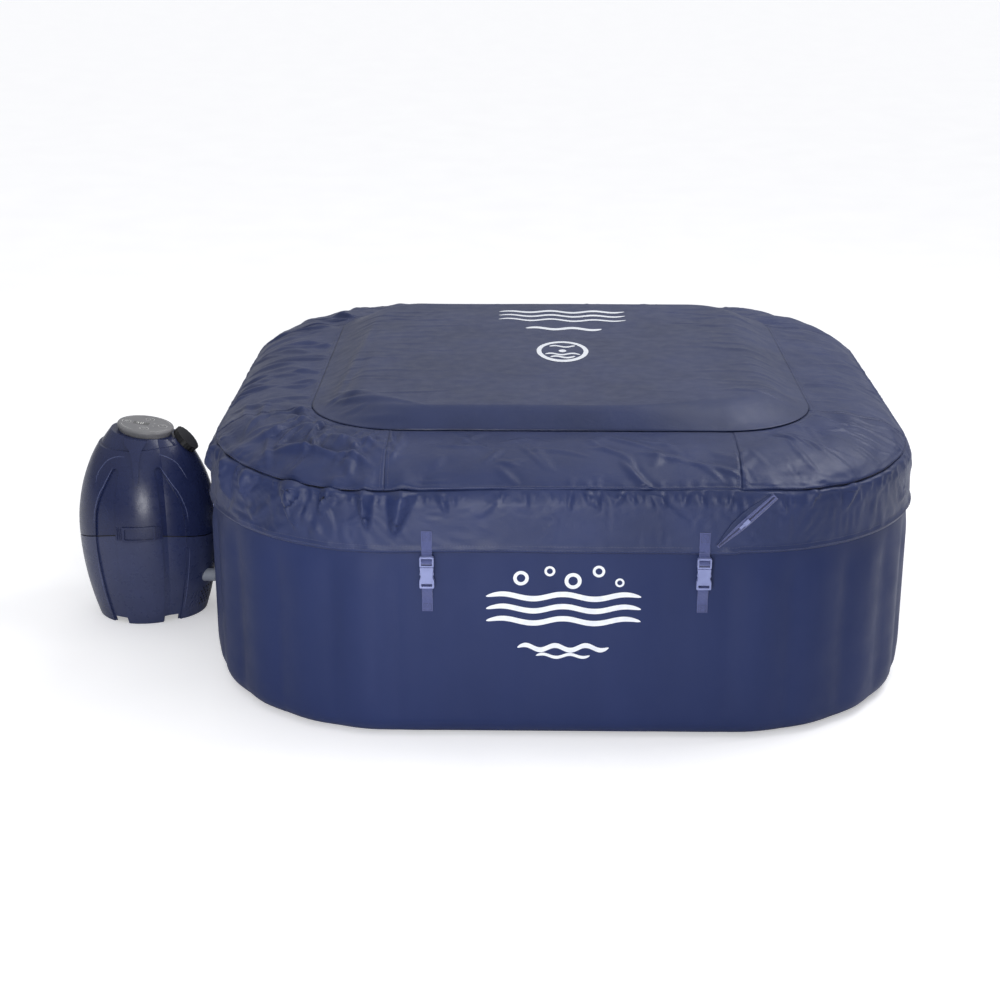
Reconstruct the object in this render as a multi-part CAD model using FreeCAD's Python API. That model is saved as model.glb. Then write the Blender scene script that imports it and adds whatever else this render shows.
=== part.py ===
"""Square inflatable hot tub with its fabric cover, buckled straps and egg-shaped pump and heater unit.

Row frame, millimetres: origin on the ground at the centre of the tub, +Z up, -Y towards the front of the
tub, and the pump unit stands on the -X side. Every sub-part is written to parts/NAME.step.
"""

import FreeCAD, Part
import math
import os
from FreeCAD import Vector

# ---- Tub ----
TUB_HALF = 900.0  # half of the tub's outside width
CORNER_R = 500.0  # outside corner radius in plan
CORE = TUB_HALF - CORNER_R  # the four corner arcs are centred at (+-CORE, +-CORE)
WALL = 270.0  # inflated wall thickness
TUB_HEIGHT = 660.0
SKIN = 2.0  # PVC skin
RIM_R = 110.0  # rounding of the wall's top edges
FOOT_R = 50.0  # rounding of the wall's outside bottom edge
INNER_R = CORNER_R - WALL  # the inner wall, measured from a corner's centre
RIM_Z = TUB_HEIGHT - RIM_R  # the top ring is welded to the walls at this height
WEB = 1.5
WEB_OFFSETS = (-400.0, -240.0, -80.0, 80.0, 240.0, 400.0)  # webs along each straight side
WEB_ANGLES = (18.0, 36.0, 54.0, 72.0)  # webs in each corner

# ---- Cover ----
COVER = 2.5  # fabric and lining
COVER_R = CORNER_R + 8.0  # outside of the skirt
HEM_Z = 488.0
HEM_HEIGHT = 14.0
SEAM_Z = 640.0  # skirt to border seam
SHOULDER_Z = 686.0
PANEL_SEAM_R = 240.0
PANEL_SEAM_Z = 710.0
PLATEAU_R = 212.0
PLATEAU_Z = 758.0
CORNER_CUT_X = 420.0  # where the corner pieces of the border begin
CORNER_CUT_Y = 570.0
LID_R = 221.0
LID_Z = (640.0, 752.0)
LID_ROUND = 38.0

# ---- Clips: the wall face is n = 0 and n grows outwards ----
CLIP_SPOTS = (-320.0, 336.0)  # along each side
BUCKLE_Z = 403.0  # lower end of a closed buckle
WEBBING = (25.4, 1.6)  # width, thickness
SOCKET_N = (11.0, 23.0)
CAVITY_N = (13.0, 21.0)
PLUG_N = (12.0, 22.0)
PRONG_N = (13.5, 20.5)

# ---- Zip on the skirt ----
ZIP_START = (366.0, 508.0)
ZIP_END = (497.0, 632.0)
ZIP_WIDTH = 18.0
SLIDER_X = 432.0

# ---- Pump unit ----
PUMP_X, PUMP_Y = -1175.0, -70.0
EGG_R = 180.5  # largest radius
EGG_Z = 263.0  # height of the largest radius
EGG_LOW_R = 874.5  # arc below that height
EGG_HIGH_R = 440.3  # arc above it
EGG_TOP = 552.0
SHELL = 8.0
SPINE = 26.0  # how far the spine stands out of the egg, on the tub's side
SPINE_TUCK = 20.0  # the spine is the egg again, this much slimmer and shifted to stand out that far
SPINE_HALF = 50.0  # half width of the part of it that carries the air outlet
SPINE_HOLLOW_Z = 440.0  # above this the spine is thick, and holds the seat of the air outlet
COLLAR_Z = 502.0  # above this the egg steps in
COLLAR_STEP = 5.0
PETAL = 5.0  # depth of the recessed panels
FRONT = -83.0  # direction of the pump's front panel, degrees
PARTING_R = 384.0  # the shells part on a cylinder along X, so the joint line rises to front and back
PARTING_Z = 622.0
PARTING_GAP = 3.0
FOOT_NOTCH = 17.0
HEAD_TILT = 8.5  # the control head leans towards the tub
HEAD_AT = Vector(PUMP_X + 20.0, PUMP_Y, 529.0)
HEAD_R = 79.0
HEAD_HEIGHT = 20.0
HEAD_FACE = 12.0  # underside of the control face
BUTTON_R = 9.0
BUTTON_SPOTS = ((-54.0, 0.0), (4.0, -42.0), (4.0, 42.0), (48.0, 0.0))
DISPLAY = (-12.0, 44.0, 22.0)  # centre x, length, width

# ---- Ports between the tub and the pump, on the wall at x = -TUB_HALF ----
WATER_PORTS = ((-130.0, 120.0), (-10.0, 120.0))  # y, z
AIR_PORT = (-70.0, 270.0)
PORT_R = 22.0
PORT_BORE = 18.0
THREAD_R = 24.0
PORT_END = 936.0  # distance of the threaded end from the tub's middle
NUT_X = (-950.0, -912.0)
NUT_R = 29.0
COLLAR_R = 23.7
LOOSE = 0.3  # gap round everything that turns or presses
RUNNING = 0.08  # gap round a shaft in its bearing

X, Y, Z = Vector(1, 0, 0), Vector(0, 1, 0), Vector(0, 0, 1)
ORIGIN = Vector(0, 0, 0)


# ---------------------------------------------------------------- shape helpers
def box(x0, x1, y0, y1, z0, z1):
    return Part.makeBox(x1 - x0, y1 - y0, z1 - z0, Vector(x0, y0, z0))


def rod(radius, start, axis, length):
    return Part.makeCylinder(radius, length, start, axis)


def pipe(outer, inner, start, axis, length):
    return rod(outer, start, axis, length).cut(rod(inner, start, axis, length))


def fused(shapes):
    return shapes[0].fuse(shapes[1:]).removeSplitter()


def group(solids):
    return Part.makeCompound(solids)


def rounded_face(corners, plane):
    """Flat face through (a, b, radius) corners, each rounded by a tangent arc. plane maps (a, b) to a point."""
    flat = [Vector(a, b, 0) for a, b, _ in corners]
    starts, mids, ends = [], [], []
    for i, (_, _, radius) in enumerate(corners):
        here = flat[i]
        back = (flat[i - 1] - here).normalize()
        ahead = (flat[(i + 1) % len(flat)] - here).normalize()
        half = back.getAngle(ahead) / 2
        inward = (back + ahead).normalize() if radius else Vector()
        starts.append(here + back * (radius / math.tan(half)))
        ends.append(here + ahead * (radius / math.tan(half)))
        mids.append(here + inward * (radius / math.sin(half) - radius))
    edges = []
    for i, (_, _, radius) in enumerate(corners):
        following = starts[(i + 1) % len(flat)]
        if radius:
            edges.append(Part.Arc(*[plane(p.x, p.y) for p in (starts[i], mids[i], ends[i])]).toShape())
        if (following - ends[i]).Length > 1e-6:
            edges.append(Part.makeLine(plane(ends[i].x, ends[i].y), plane(following.x, following.y)))
    return Part.Face(Part.Wire(edges))


def in_xz(a, b):
    return Vector(a, 0, b)


def wall_section(r0, r1, z0, z1, foot, rim, inner_foot=0.0):
    """Upright section from r0 to r1, measured from a corner's centre, with rounded edges."""
    return rounded_face(
        [(r0, z0, inner_foot), (r1, z0, foot), (r1, z1, rim), (r0, z1, rim)], in_xz
    )


def window(r0, r1, z0, z1):
    """Rectangle in the section plane, used to take one band out of a section."""
    return rounded_face([(r0, z0, 0), (r1, z0, 0), (r1, z1, 0), (r0, z1, 0)], in_xz)


def around_square(face, heart=()):
    """Sweeps a section right round the rounded square. heart holds (z0, z1) of the middle of a plate."""
    side = face.translated(Vector(CORE, -CORE, 0)).extrude(Y * (2 * CORE))
    corner = face.revolve(ORIGIN, Z, 90).translated(Vector(CORE, CORE, 0))
    pieces = [p.rotated(ORIGIN, Z, 90 * k) for k in range(4) for p in (side, corner)]
    pieces += [box(-CORE, CORE, -CORE, CORE, z0, z1) for z0, z1 in heart]
    return fused(pieces)


def bent_tube(points, bends, outer, inner):
    """Tube along straight runs joined by tangent arcs, one bend radius for each inside point."""
    edges, start = [], points[0]
    for i, bend in enumerate(bends, 1):
        here = points[i]
        back, ahead = (points[i - 1] - here).normalize(), (points[i + 1] - here).normalize()
        half = back.getAngle(ahead) / 2
        setback = bend / math.tan(half)
        middle = here + (back + ahead).normalize() * (bend / math.sin(half) - bend)
        edges.append(Part.makeLine(start, here + back * setback))
        edges.append(Part.Arc(here + back * setback, middle, here + ahead * setback).toShape())
        start = here + ahead * setback
    edges.append(Part.makeLine(start, points[-1]))
    path = Part.Wire(edges)
    first = (points[1] - points[0]).normalize()
    solids = []
    for radius in (outer, inner):
        ring = Part.Wire(Part.makeCircle(radius, points[0], first))
        solids.append(path.makePipeShell([ring], True, False))
    return solids[0].cut(solids[1])


# ---------------------------------------------------------------- inflated wall
def chamber_bands():
    """The wall's skins, cut out of one hollow section where they are welded together."""
    outside = wall_section(INNER_R, CORNER_R, 0, TUB_HEIGHT, FOOT_R, RIM_R)
    inside = wall_section(
        INNER_R + SKIN, CORNER_R - SKIN, SKIN, TUB_HEIGHT - SKIN, FOOT_R - SKIN, RIM_R - SKIN
    )
    hollow = outside.cut(inside)
    foot_start = CORNER_R - FOOT_R
    middle = (INNER_R + CORNER_R) / 2
    outer = hollow.common(window(foot_start, CORNER_R + 1, -1, RIM_Z))
    rim = hollow.common(window(INNER_R - 1, CORNER_R + 1, RIM_Z, TUB_HEIGHT + 1))
    inner = hollow.common(window(INNER_R - 1, middle, SKIN, RIM_Z))
    return outer.Faces[0], rim.Faces[0], inner.Faces[0]


def pipe_hole(shape, y, z, radius, x0, x1):
    return shape.cut(rod(radius, Vector(x0, y, z), X, x1 - x0))


def make_skins():
    outer_face, rim_face, inner_face = chamber_bands()
    outer = around_square(outer_face)
    inner = around_square(inner_face)
    for y, z in WATER_PORTS:
        outer = pipe_hole(outer, y, z, PORT_R, -TUB_HALF - 5, -TUB_HALF + 5)
        inner = pipe_hole(inner, y, z, PORT_R, -CORE - INNER_R - 5, -CORE - INNER_R + 5)
    outer = pipe_hole(outer, *AIR_PORT, PORT_R, -TUB_HALF - 5, -TUB_HALF + 5)
    inner = pipe_hole(inner, AIR_PORT[0], AIR_FEED_Z, AIR_FEED_R, -CORE - INNER_R - 5, -CORE - INNER_R + 5)
    outer = pipe_hole(outer, VALVE_Y, VALVE_Z, VALVE_R, -TUB_HALF - 5, -TUB_HALF + 5)
    outer = outer.cut(rod(DRAIN_R, Vector(DRAIN_X, TUB_HALF - 5, DRAIN_Z), Y, 10))
    inner = inner.cut(rod(DRAIN_R, Vector(DRAIN_X, CORE + INNER_R - 5, DRAIN_Z), Y, 10))
    floor = rounded_face(
        [(0, 0, 0), (CORNER_R - FOOT_R, 0, 0), (CORNER_R - FOOT_R, SKIN, 0), (0, SKIN, 0)], in_xz
    )
    return {
        "outer_wall": outer,
        "inner_wall": inner,
        "top_ring": around_square(rim_face),
        "base_sheet": around_square(floor, [(0, SKIN)]),
    }


def make_webs():
    """Upright sheets that tie the outer wall to the inner wall and give the wall its vertical creases."""
    gap = 2.0
    face = wall_section(INNER_R + SKIN + gap, CORNER_R - SKIN - gap, 30, 620, 40, 90)
    for z in (120, 300, 480):
        hole = rod(25, Vector((INNER_R + CORNER_R) / 2, -10, z), Y, 20)
        face = face.cut(hole)
    sheet = face.Faces[0].extrude(Y * WEB)
    webs = []
    for quarter in range(4):
        for offset in WEB_OFFSETS:
            webs.append(sheet.translated(Vector(CORE, offset - WEB / 2, 0)).rotated(ORIGIN, Z, 90 * quarter))
        for angle in WEB_ANGLES:
            turned = sheet.translated(Vector(0, -WEB / 2, 0)).rotated(ORIGIN, Z, angle)
            webs.append(turned.translated(Vector(CORE, CORE, 0)).rotated(ORIGIN, Z, 90 * quarter))
    return group([web for web in webs if not by_air_pipe(web.BoundBox)])


def by_air_pipe(web):
    """There is no web where the air pipe goes down between the walls."""
    room = PORT_R + 5
    return web.XMax < 0 and web.YMin < AIR_PORT[0] + room and web.YMax > AIR_PORT[0] - room


# ---------------------------------------------------------------- bubble channel and pipes
CHANNEL_R = (188.0, 229.7)
CHANNEL_Z = (SKIN, 40.0)
JET_R = 2.5
JETS_A_SIDE = 8
AIR_FEED_Z = 21.0
AIR_FEED_R = 14.0
VALVE_Y, VALVE_Z, VALVE_R = 200.0, 400.0, 20.0
DRAIN_X, DRAIN_Z, DRAIN_R = 200.0, 70.0, 13.3


def make_bubble_channel():
    """Hollow rail round the foot of the inner wall, with a row of air jets in its top."""
    outside = rounded_face(
        [(CHANNEL_R[0], CHANNEL_Z[0], 0), (CHANNEL_R[1], CHANNEL_Z[0], 0),
         (CHANNEL_R[1], CHANNEL_Z[1], 0), (CHANNEL_R[0], CHANNEL_Z[1], 14)], in_xz)
    inside = rounded_face(
        [(CHANNEL_R[0] + 2, CHANNEL_Z[0] + 2, 0), (CHANNEL_R[1] - 2, CHANNEL_Z[0] + 2, 0),
         (CHANNEL_R[1] - 2, CHANNEL_Z[1] - 2, 0), (CHANNEL_R[0] + 2, CHANNEL_Z[1] - 2, 12)], in_xz)
    rail = around_square(outside.cut(inside).Faces[0])
    middle = CORE + (CHANNEL_R[0] + CHANNEL_R[1]) / 2 + 3
    step = 2 * CORE / JETS_A_SIDE
    jets = []
    for quarter in range(4):
        for k in range(JETS_A_SIDE):
            jet = rod(JET_R, Vector(middle, -CORE + step * (k + 0.5), 25), Z, 30)
            jets.append(jet.rotated(ORIGIN, Z, 90 * quarter))
    feed = rod(AIR_FEED_R, Vector(-CORE - INNER_R - 2, AIR_PORT[0], AIR_FEED_Z), X, 8)
    return rail.cut(group(jets)).cut(feed)


def threaded_port(y, z):
    """The part of a port that shows outside the wall: flange, pipe and thread."""
    flange = rod(40, Vector(-TUB_HALF - 4, y, z), X, 4)
    thread = rod(THREAD_R, Vector(-PORT_END, y, z), X, PORT_END - TUB_HALF - 8)
    return [flange, thread]


def make_water_pipe(y, z):
    inner_x = -CORE - INNER_R
    parts = threaded_port(y, z)
    parts.append(rod(34, Vector(-TUB_HALF + SKIN, y, z), X, 5))
    parts.append(rod(34, Vector(inner_x - SKIN - 5, y, z), X, 5))
    parts.append(rod(40, Vector(inner_x, y, z), X, 4))
    parts.append(rod(PORT_R, Vector(-PORT_END, y, z), X, PORT_END + inner_x + 10))
    return fused(parts).cut(rod(PORT_BORE, Vector(-PORT_END, y, z), X, 400))


def make_air_pipe():
    """From the air port through the wall's chamber and down to the bubble channel."""
    y, z = AIR_PORT
    down_x = -730.0
    stub = fused(threaded_port(y, z) + [
        rod(26, Vector(-TUB_HALF + SKIN, y, z), X, 5),
        rod(PORT_R, Vector(-PORT_END, y, z), X, PORT_END - 850),
    ]).cut(rod(AIR_FEED_R - 2, Vector(-PORT_END, y, z), X, 100))
    points = [Vector(-850, y, z), Vector(down_x, y, z), Vector(down_x, y, AIR_FEED_Z),
              Vector(-CORE - INNER_R + 2, y, AIR_FEED_Z)]
    return fused([stub, bent_tube(points, (40, 25), AIR_FEED_R, AIR_FEED_R - 2)])


FILTER_X = -CORE - INNER_R + 4  # the pot stands on the pipe's inner flange
FILTER_R = 58.0
FILTER_LENGTH = 84.0


def make_filter():
    y, z = WATER_PORTS[0]
    at = Vector(FILTER_X, y, z)
    pot = rod(FILTER_R, at, X, FILTER_LENGTH).cut(rod(FILTER_R - 2.5, at + X * 2.5, X, FILTER_LENGTH))
    pot = pot.cut(rod(PORT_R, at, X, 3))
    for k in range(12):
        slot = box(30, FILTER_LENGTH - 14, -3, 3, FILTER_R - 6, FILTER_R + 6).rotated(ORIGIN, X, 30 * k)
        pot = pot.cut(slot.translated(at))
    pleats = 24
    rim = []
    for k in range(2 * pleats):
        radius = 52 if k % 2 == 0 else 40
        angle = math.pi * k / pleats
        rim.append(Vector(FILTER_X + 10, y + radius * math.cos(angle), z + radius * math.sin(angle)))
    star = Part.Face(Part.makePolygon(rim + [rim[0]])).extrude(X * (FILTER_LENGTH - 16))
    cartridge = star.cut(rod(26, Vector(FILTER_X, y, z), X, FILTER_LENGTH))
    lid_at = at + X * (FILTER_LENGTH + LOOSE)
    lid = rod(FILTER_R + 3, lid_at, X, 9).fuse(rod(20, lid_at + X * 9, X, 8)).removeSplitter()
    for k in range(8):
        lid = lid.cut(box(-1, 12, -4, 4, 28, 50).rotated(ORIGIN, X, 45 * k).translated(lid_at))
    return {"filter_housing": pot, "filter_cartridge": cartridge, "filter_cap": lid}


def make_debris_screen():
    y, z = WATER_PORTS[1]
    at = Vector(FILTER_X, y, z)
    cup = rod(38, at, X, 18).cut(rod(36, at + X * 2, X, 14)).cut(rod(PORT_R, at, X, 3))
    for k in range(5):
        offset = -24 + 12 * k
        half = math.sqrt(30**2 - offset**2)
        cup = cup.cut(box(14, 20, offset - 3, offset + 3, -half, half).translated(at))
    return cup


def screw_cap(radius, length, at, axis, grips=12):
    """Cap with finger grips round its edge and a socket for the neck."""
    cap = rod(radius, at, axis, length)
    for k in range(grips):
        grip = rod(2.2, Vector(radius + 0.6, 0, -1), Z, length + 2).rotated(ORIGIN, Z, 360 * k / grips)
        grip = grip.transformed(FreeCAD.Placement(at, FreeCAD.Rotation(Z, axis)).toMatrix())
        cap = cap.cut(grip)
    return cap


def make_air_valve():
    """Inflation valve in the outer wall, with a screw cap over its neck."""
    wall = Vector(-TUB_HALF, VALVE_Y, VALVE_Z)
    body = fused([
        rod(32, wall - X * 3, X, 3),
        rod(VALVE_R, wall - X * 14, X, 40),
        rod(26, wall + X * SKIN, X, 4),
    ]).cut(rod(13, wall - X * 15, X, 50))
    cap = screw_cap(25, 16, wall - X * 4, X * -1)
    cap = cap.cut(rod(VALVE_R + LOOSE, wall - X * (14 + LOOSE), X, 14))
    return {"air_valve_body": body, "air_valve_cap": cap}


def make_drain_valve():
    """Drain through the wall near the ground, closed by a screw cap at the back."""
    face = Vector(DRAIN_X, TUB_HALF, DRAIN_Z)
    depth = WALL + 4
    body = fused([
        rod(28, face, Y, 4),
        rod(DRAIN_R, face - Y * depth, Y, depth + 20),
        rod(20, face - Y * (SKIN + 4), Y, 4),
        rod(24, face - Y * (WALL + 4), Y, 4),
    ]).cut(rod(10, face - Y * 300, Y, 330))
    cap = screw_cap(18, 20, face + Y * 5, Y)
    cap = cap.cut(rod(DRAIN_R + LOOSE, face + Y * 4, Y, 16 + LOOSE))
    return {"drain_valve_body": body, "drain_cap": cap}


# ---------------------------------------------------------------- clips and webbing
def slab(corners, n0, n1):
    """Flat piece on the front wall: outline in x and z, from n0 to n1 outwards."""
    face = rounded_face(corners, lambda a, b: Vector(a, -TUB_HALF - n1, b))
    return face.extrude(Y * (n1 - n0))


def strip(profile):
    """Webbing: outline in n and z, as wide as the webbing."""
    width = WEBBING[0]
    face = rounded_face(profile, lambda n, z: Vector(-width / 2, -TUB_HALF - n, z))
    return face.extrude(X * width)


def mirrored(right_half):
    """Closes an outline given by its right half, from bottom to top."""
    return right_half + [(-a, b, r) for a, b, r in reversed(right_half)]


def soft_edges(solid, radius, y):
    """Rounds the edge loop of the flat side that faces out."""
    loop = [e for e in solid.Edges if abs(e.BoundBox.YMin - y) < 1e-3 and abs(e.BoundBox.YMax - y) < 1e-3]
    return solid.makeFillet(radius, loop)


def buckle_outline(points):
    """Outline whose heights are given from the buckle's lower end."""
    return [(x, BUCKLE_Z + z, r) for x, z, r in points]


def webbing_slot(z0, z1):
    half = WEBBING[0] / 2 + LOOSE
    return slab(buckle_outline([(-half, z0, 1), (half, z0, 1), (half, z1, 1), (-half, z1, 1)]), 0, 30)


def make_socket():
    outline = mirrored([(17.5, 0, 3), (17.5, 20, 4), (14, 28, 4), (14, 39, 4), (16, 46, 3), (16, 52.5, 1.5)])
    body = soft_edges(slab(buckle_outline(outline), *SOCKET_N), 1.2, -TUB_HALF - SOCKET_N[1])
    cavity = slab(buckle_outline([(-25, 22, 0), (25, 22, 0), (25, 54, 0), (-25, 54, 0)]), *CAVITY_N)
    dimple = rod(4.2, Vector(0, -TUB_HALF - SOCKET_N[1], BUCKLE_Z + 17.5), Y, 0.7)
    return body.cut(cavity).cut(webbing_slot(5, 12)).cut(dimple)


def make_plug():
    frame = slab(buckle_outline(mirrored([(17, 53.5, 3), (17, 79, 3.5)])), *PLUG_N)
    frame = soft_edges(frame, 1.2, -TUB_HALF - PLUG_N[1])
    for z0, z1 in ((57.5, 64.0), (68.5, 75.0)):
        frame = frame.cut(webbing_slot(z0, z1))
    prong = [(6.5, 54.5, 0), (6.5, 30, 1.2), (9.3, 26, 1.2), (13.8, 28, 2), (16.6, 34.5, 2), (15.6, 41.5, 2),
             (11.5, 46, 2), (11.5, 54.5, 0)]
    left = [(-a, b, r) for a, b, r in reversed(prong)]
    tongue = mirrored([(3, 31.5, 1), (3, 54.5, 0)])
    return fused([frame] + [slab(buckle_outline(p), *PRONG_N) for p in (prong, left, tongue)])


def make_clips():
    thick = WEBBING[1]
    end, bar = BUCKLE_Z - 55, BUCKLE_Z + 11
    lower = [(0, end, 0), (thick, end, 0), (thick, end + 20, 0), (10.0, end + 46, 0), (10.0, bar, 0),
             (10.0 - thick, bar, 0), (10.0 - thick, end + 46.6, 0), (0, end + 20.6, 0)]
    upper_n = COVER_R - CORNER_R + 0.1
    upper = [(upper_n, BUCKLE_Z + 47, 0), (upper_n + thick, BUCKLE_Z + 47, 0), (upper_n + thick, 544, 0),
             (upper_n, 544, 0)]
    made = {"clip_sockets": [], "wall_straps": [], "cover_straps": []}
    shapes = {"clip_sockets": make_socket(), "wall_straps": strip(lower), "cover_straps": strip(upper)}
    plug = make_plug()
    number = 0
    for quarter in range(4):
        for x in CLIP_SPOTS:
            number += 1
            for name, shape in shapes.items():
                made[name].append(shape.translated(X * x).rotated(ORIGIN, Z, 90 * quarter))
            made[f"clip_plug_{number}"] = [plug.translated(X * x).rotated(ORIGIN, Z, 90 * quarter)]
    return {name: group(solids) for name, solids in made.items()}


# ---------------------------------------------------------------- cover
def make_cover():
    def outline(inset):
        return rounded_face([
            (0, HEM_Z - 10, 0), (COVER_R - inset, HEM_Z - 10, 0),
            (COVER_R - inset, SHOULDER_Z - inset, 60 - inset),
            (PANEL_SEAM_R - inset * 0.4, PANEL_SEAM_Z - inset, 0),
            (PLATEAU_R - inset, PLATEAU_Z - inset, 25 - inset), (0, PLATEAU_Z - inset, 0)], in_xz)

    cloth = outline(0).cut(outline(COVER))
    top = 800.0
    skirt_face = cloth.common(window(COVER_R - 30, COVER_R + 1, HEM_Z + HEM_HEIGHT, SEAM_Z)).Faces[0]
    hem_face = window(COVER_R - COVER - 1, COVER_R, HEM_Z, HEM_Z + HEM_HEIGHT)
    border_face = cloth.common(window(PANEL_SEAM_R, COVER_R + 1, SEAM_Z, top)).Faces[0]
    panel_face = cloth.common(window(0, PANEL_SEAM_R, SEAM_Z, top)).Faces[0]
    skirt = around_square(skirt_face.fuse(hem_face).removeSplitter().Faces[0])
    border = around_square(border_face)
    panel = around_square(panel_face, [(PLATEAU_Z - COVER, PLATEAU_Z)])
    corner_box = box(CORNER_CUT_X, 1000, CORNER_CUT_Y, 1000, 0, top)
    corners, rest = [], border
    for sx in (0, 1):
        for sy in (0, 1):
            tool = corner_box
            if sx:
                tool = tool.mirror(ORIGIN, X)
            if sy:
                tool = tool.mirror(ORIGIN, Y)
            corners += border.common(tool).Solids
            rest = rest.cut(tool)
    return {
        "cover_skirt": skirt,
        "cover_top_panel": panel,
        "cover_corners": group(corners),
        "cover_side_strips": group(rest.Solids),
    }


def make_lid():
    """Inflated lid that lies in the cover's pocket: a hollow cushion."""
    z0, z1 = LID_Z
    cavity = LID_ROUND - SKIN

    def block(inset):
        face = rounded_face([(0, z0 + inset, 0), (LID_R - inset, z0 + inset, LID_ROUND - inset),
                             (LID_R - inset, z1 - inset, LID_ROUND - inset), (0, z1 - inset, 0)], in_xz)
        return around_square(face, [(z0 + inset, z1 - inset)])

    assert cavity > 0
    return block(0).cut(block(SKIN))


def zip_direction():
    return Vector(ZIP_END[0] - ZIP_START[0], 0, ZIP_END[1] - ZIP_START[1]).normalize()


def make_zip():
    """Zip tape sewn across the skirt at a slant, wrapped on it, and its slider."""
    along = zip_direction()
    across = Vector(-along.z, 0, along.x)
    start, end = Vector(ZIP_START[0], 0, ZIP_START[1]), Vector(ZIP_END[0], 0, ZIP_END[1])
    half = across * (ZIP_WIDTH / 2)
    ring = [start - half, end - half, end + half, start + half, start - half]
    prism = Part.Face(Part.makePolygon([p + Y * -1000 for p in ring])).extrude(Y * 500)
    band = around_square(window(COVER_R, COVER_R + 1.6, HEM_Z, SEAM_Z))
    tape = band.common(prism)
    share = (SLIDER_X - ZIP_START[0]) / (ZIP_END[0] - ZIP_START[0])
    centre = start + (end - start) * share
    turn = math.degrees(math.atan2(along.z, along.x))
    front = -CORE - COVER_R - 2.2
    parts = [box(-8, 8, front - 4, front, -5, 5), box(-22, -6, front - 3, front - 1.2, -3, 3)]
    slider = fused(parts).rotated(ORIGIN, Y, -turn).translated(centre)
    return {"zip_tape": tape, "zip_slider": slider}


# ---------------------------------------------------------------- pump unit: shells
AXIS_AT = Vector(PUMP_X, PUMP_Y, 0)


def egg_radius(z, offset):
    radius = EGG_LOW_R if z < EGG_Z else EGG_HIGH_R
    return EGG_R - radius + math.sqrt((radius + offset) ** 2 - (z - EGG_Z) ** 2)


def egg(offset, z0=0.0, z1=EGG_TOP):
    """Solid of revolution with the pump's outline, grown by offset, from z0 to z1."""
    def at(z):
        return Vector(egg_radius(z, offset), 0, z)

    edges = [Part.makeLine(Vector(0, 0, z0), at(z0))]
    for low, high in ((z0, min(z1, EGG_Z)), (max(z0, EGG_Z), z1)):
        if high > low:
            edges.append(Part.Arc(at(low), at((low + high) / 2), at(high)).toShape())
    edges.append(Part.makeLine(at(z1), Vector(0, 0, z1)))
    edges.append(Part.makeLine(Vector(0, 0, z1), Vector(0, 0, z0)))
    return Part.Face(Part.Wire(edges)).revolve(ORIGIN, Z, 360).translated(AXIS_AT)


def spine(offset, z0, z1):
    """The swelling on the tub's side: a slimmer egg, shifted, so that it runs smoothly into the first one."""
    return egg(offset - SPINE_TUCK, z0, z1).translated(X * (SPINE + SPINE_TUCK))


def body_solid(offset, z0=0.0, z1=EGG_TOP):
    """Egg with its spine."""
    return egg(offset, z0, z1).fuse(spine(offset, z0, z1)).removeSplitter()


def radial_tool(corners, angle, r0=60.0, r1=260.0):
    """Prism that goes out from the pump's axis in one direction: outline across and up."""
    face = rounded_face(corners, lambda a, b: Vector(r0, a, b))
    return face.extrude(X * (r1 - r0)).rotated(ORIGIN, Z, angle).translated(AXIS_AT)


def petal_outline(lean):
    """Tall pointed arch, upright on the side it leans to: -1, 0 for neither or 1."""
    if lean == 0:
        return mirrored([(24, -5, 0), (37, 240, 300), (34, 350, 160), (10, 458, 10)])
    points = [(-24, -5, 0), (24, -5, 0), (40, 240, 300), (37, 350, 160), (-8, 462, 8), (-24, 452, 8),
              (-31, 240, 400)]
    if lean > 0:
        return [(-a, b, r) for a, b, r in reversed(points)]
    return points


PETALS = ((30.0, -1), (150.0, 1), (210.0, -1), (270.0, 0), (330.0, 1))  # from the front, and their lean
TONGUES = (0.0, 180.0)
LATCHES = (0.0, 180.0)


def parting(grow):
    """Everything above the joint line between the two shells."""
    length = 600.0
    return rod(PARTING_R + grow, Vector(PUMP_X - length / 2, PUMP_Y, PARTING_Z), X, length)


def head_frame(shape):
    """Puts a shape made about the origin, +Z up, on the tilted seat of the control head."""
    return shape.rotated(ORIGIN, Y, HEAD_TILT).translated(HEAD_AT)


def collar_cut():
    """What the step below the control head takes off the body, all round but for the air outlet's seat."""
    band = body_solid(2, COLLAR_Z, EGG_TOP).cut(body_solid(-COLLAR_STEP, COLLAR_Z, EGG_TOP))
    seat = box(PUMP_X + 40, PUMP_X + 300, PUMP_Y - SPINE_HALF, PUMP_Y + SPINE_HALF, COLLAR_Z - 1, EGG_TOP + 1)
    return band.cut(seat)


def hollow():
    """The space inside the shells. The spine's own hollow ends below the air outlet's seat."""
    return egg(-SHELL, -1).fuse(spine(-SHELL, -1, SPINE_HOLLOW_Z)).removeSplitter()


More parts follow.
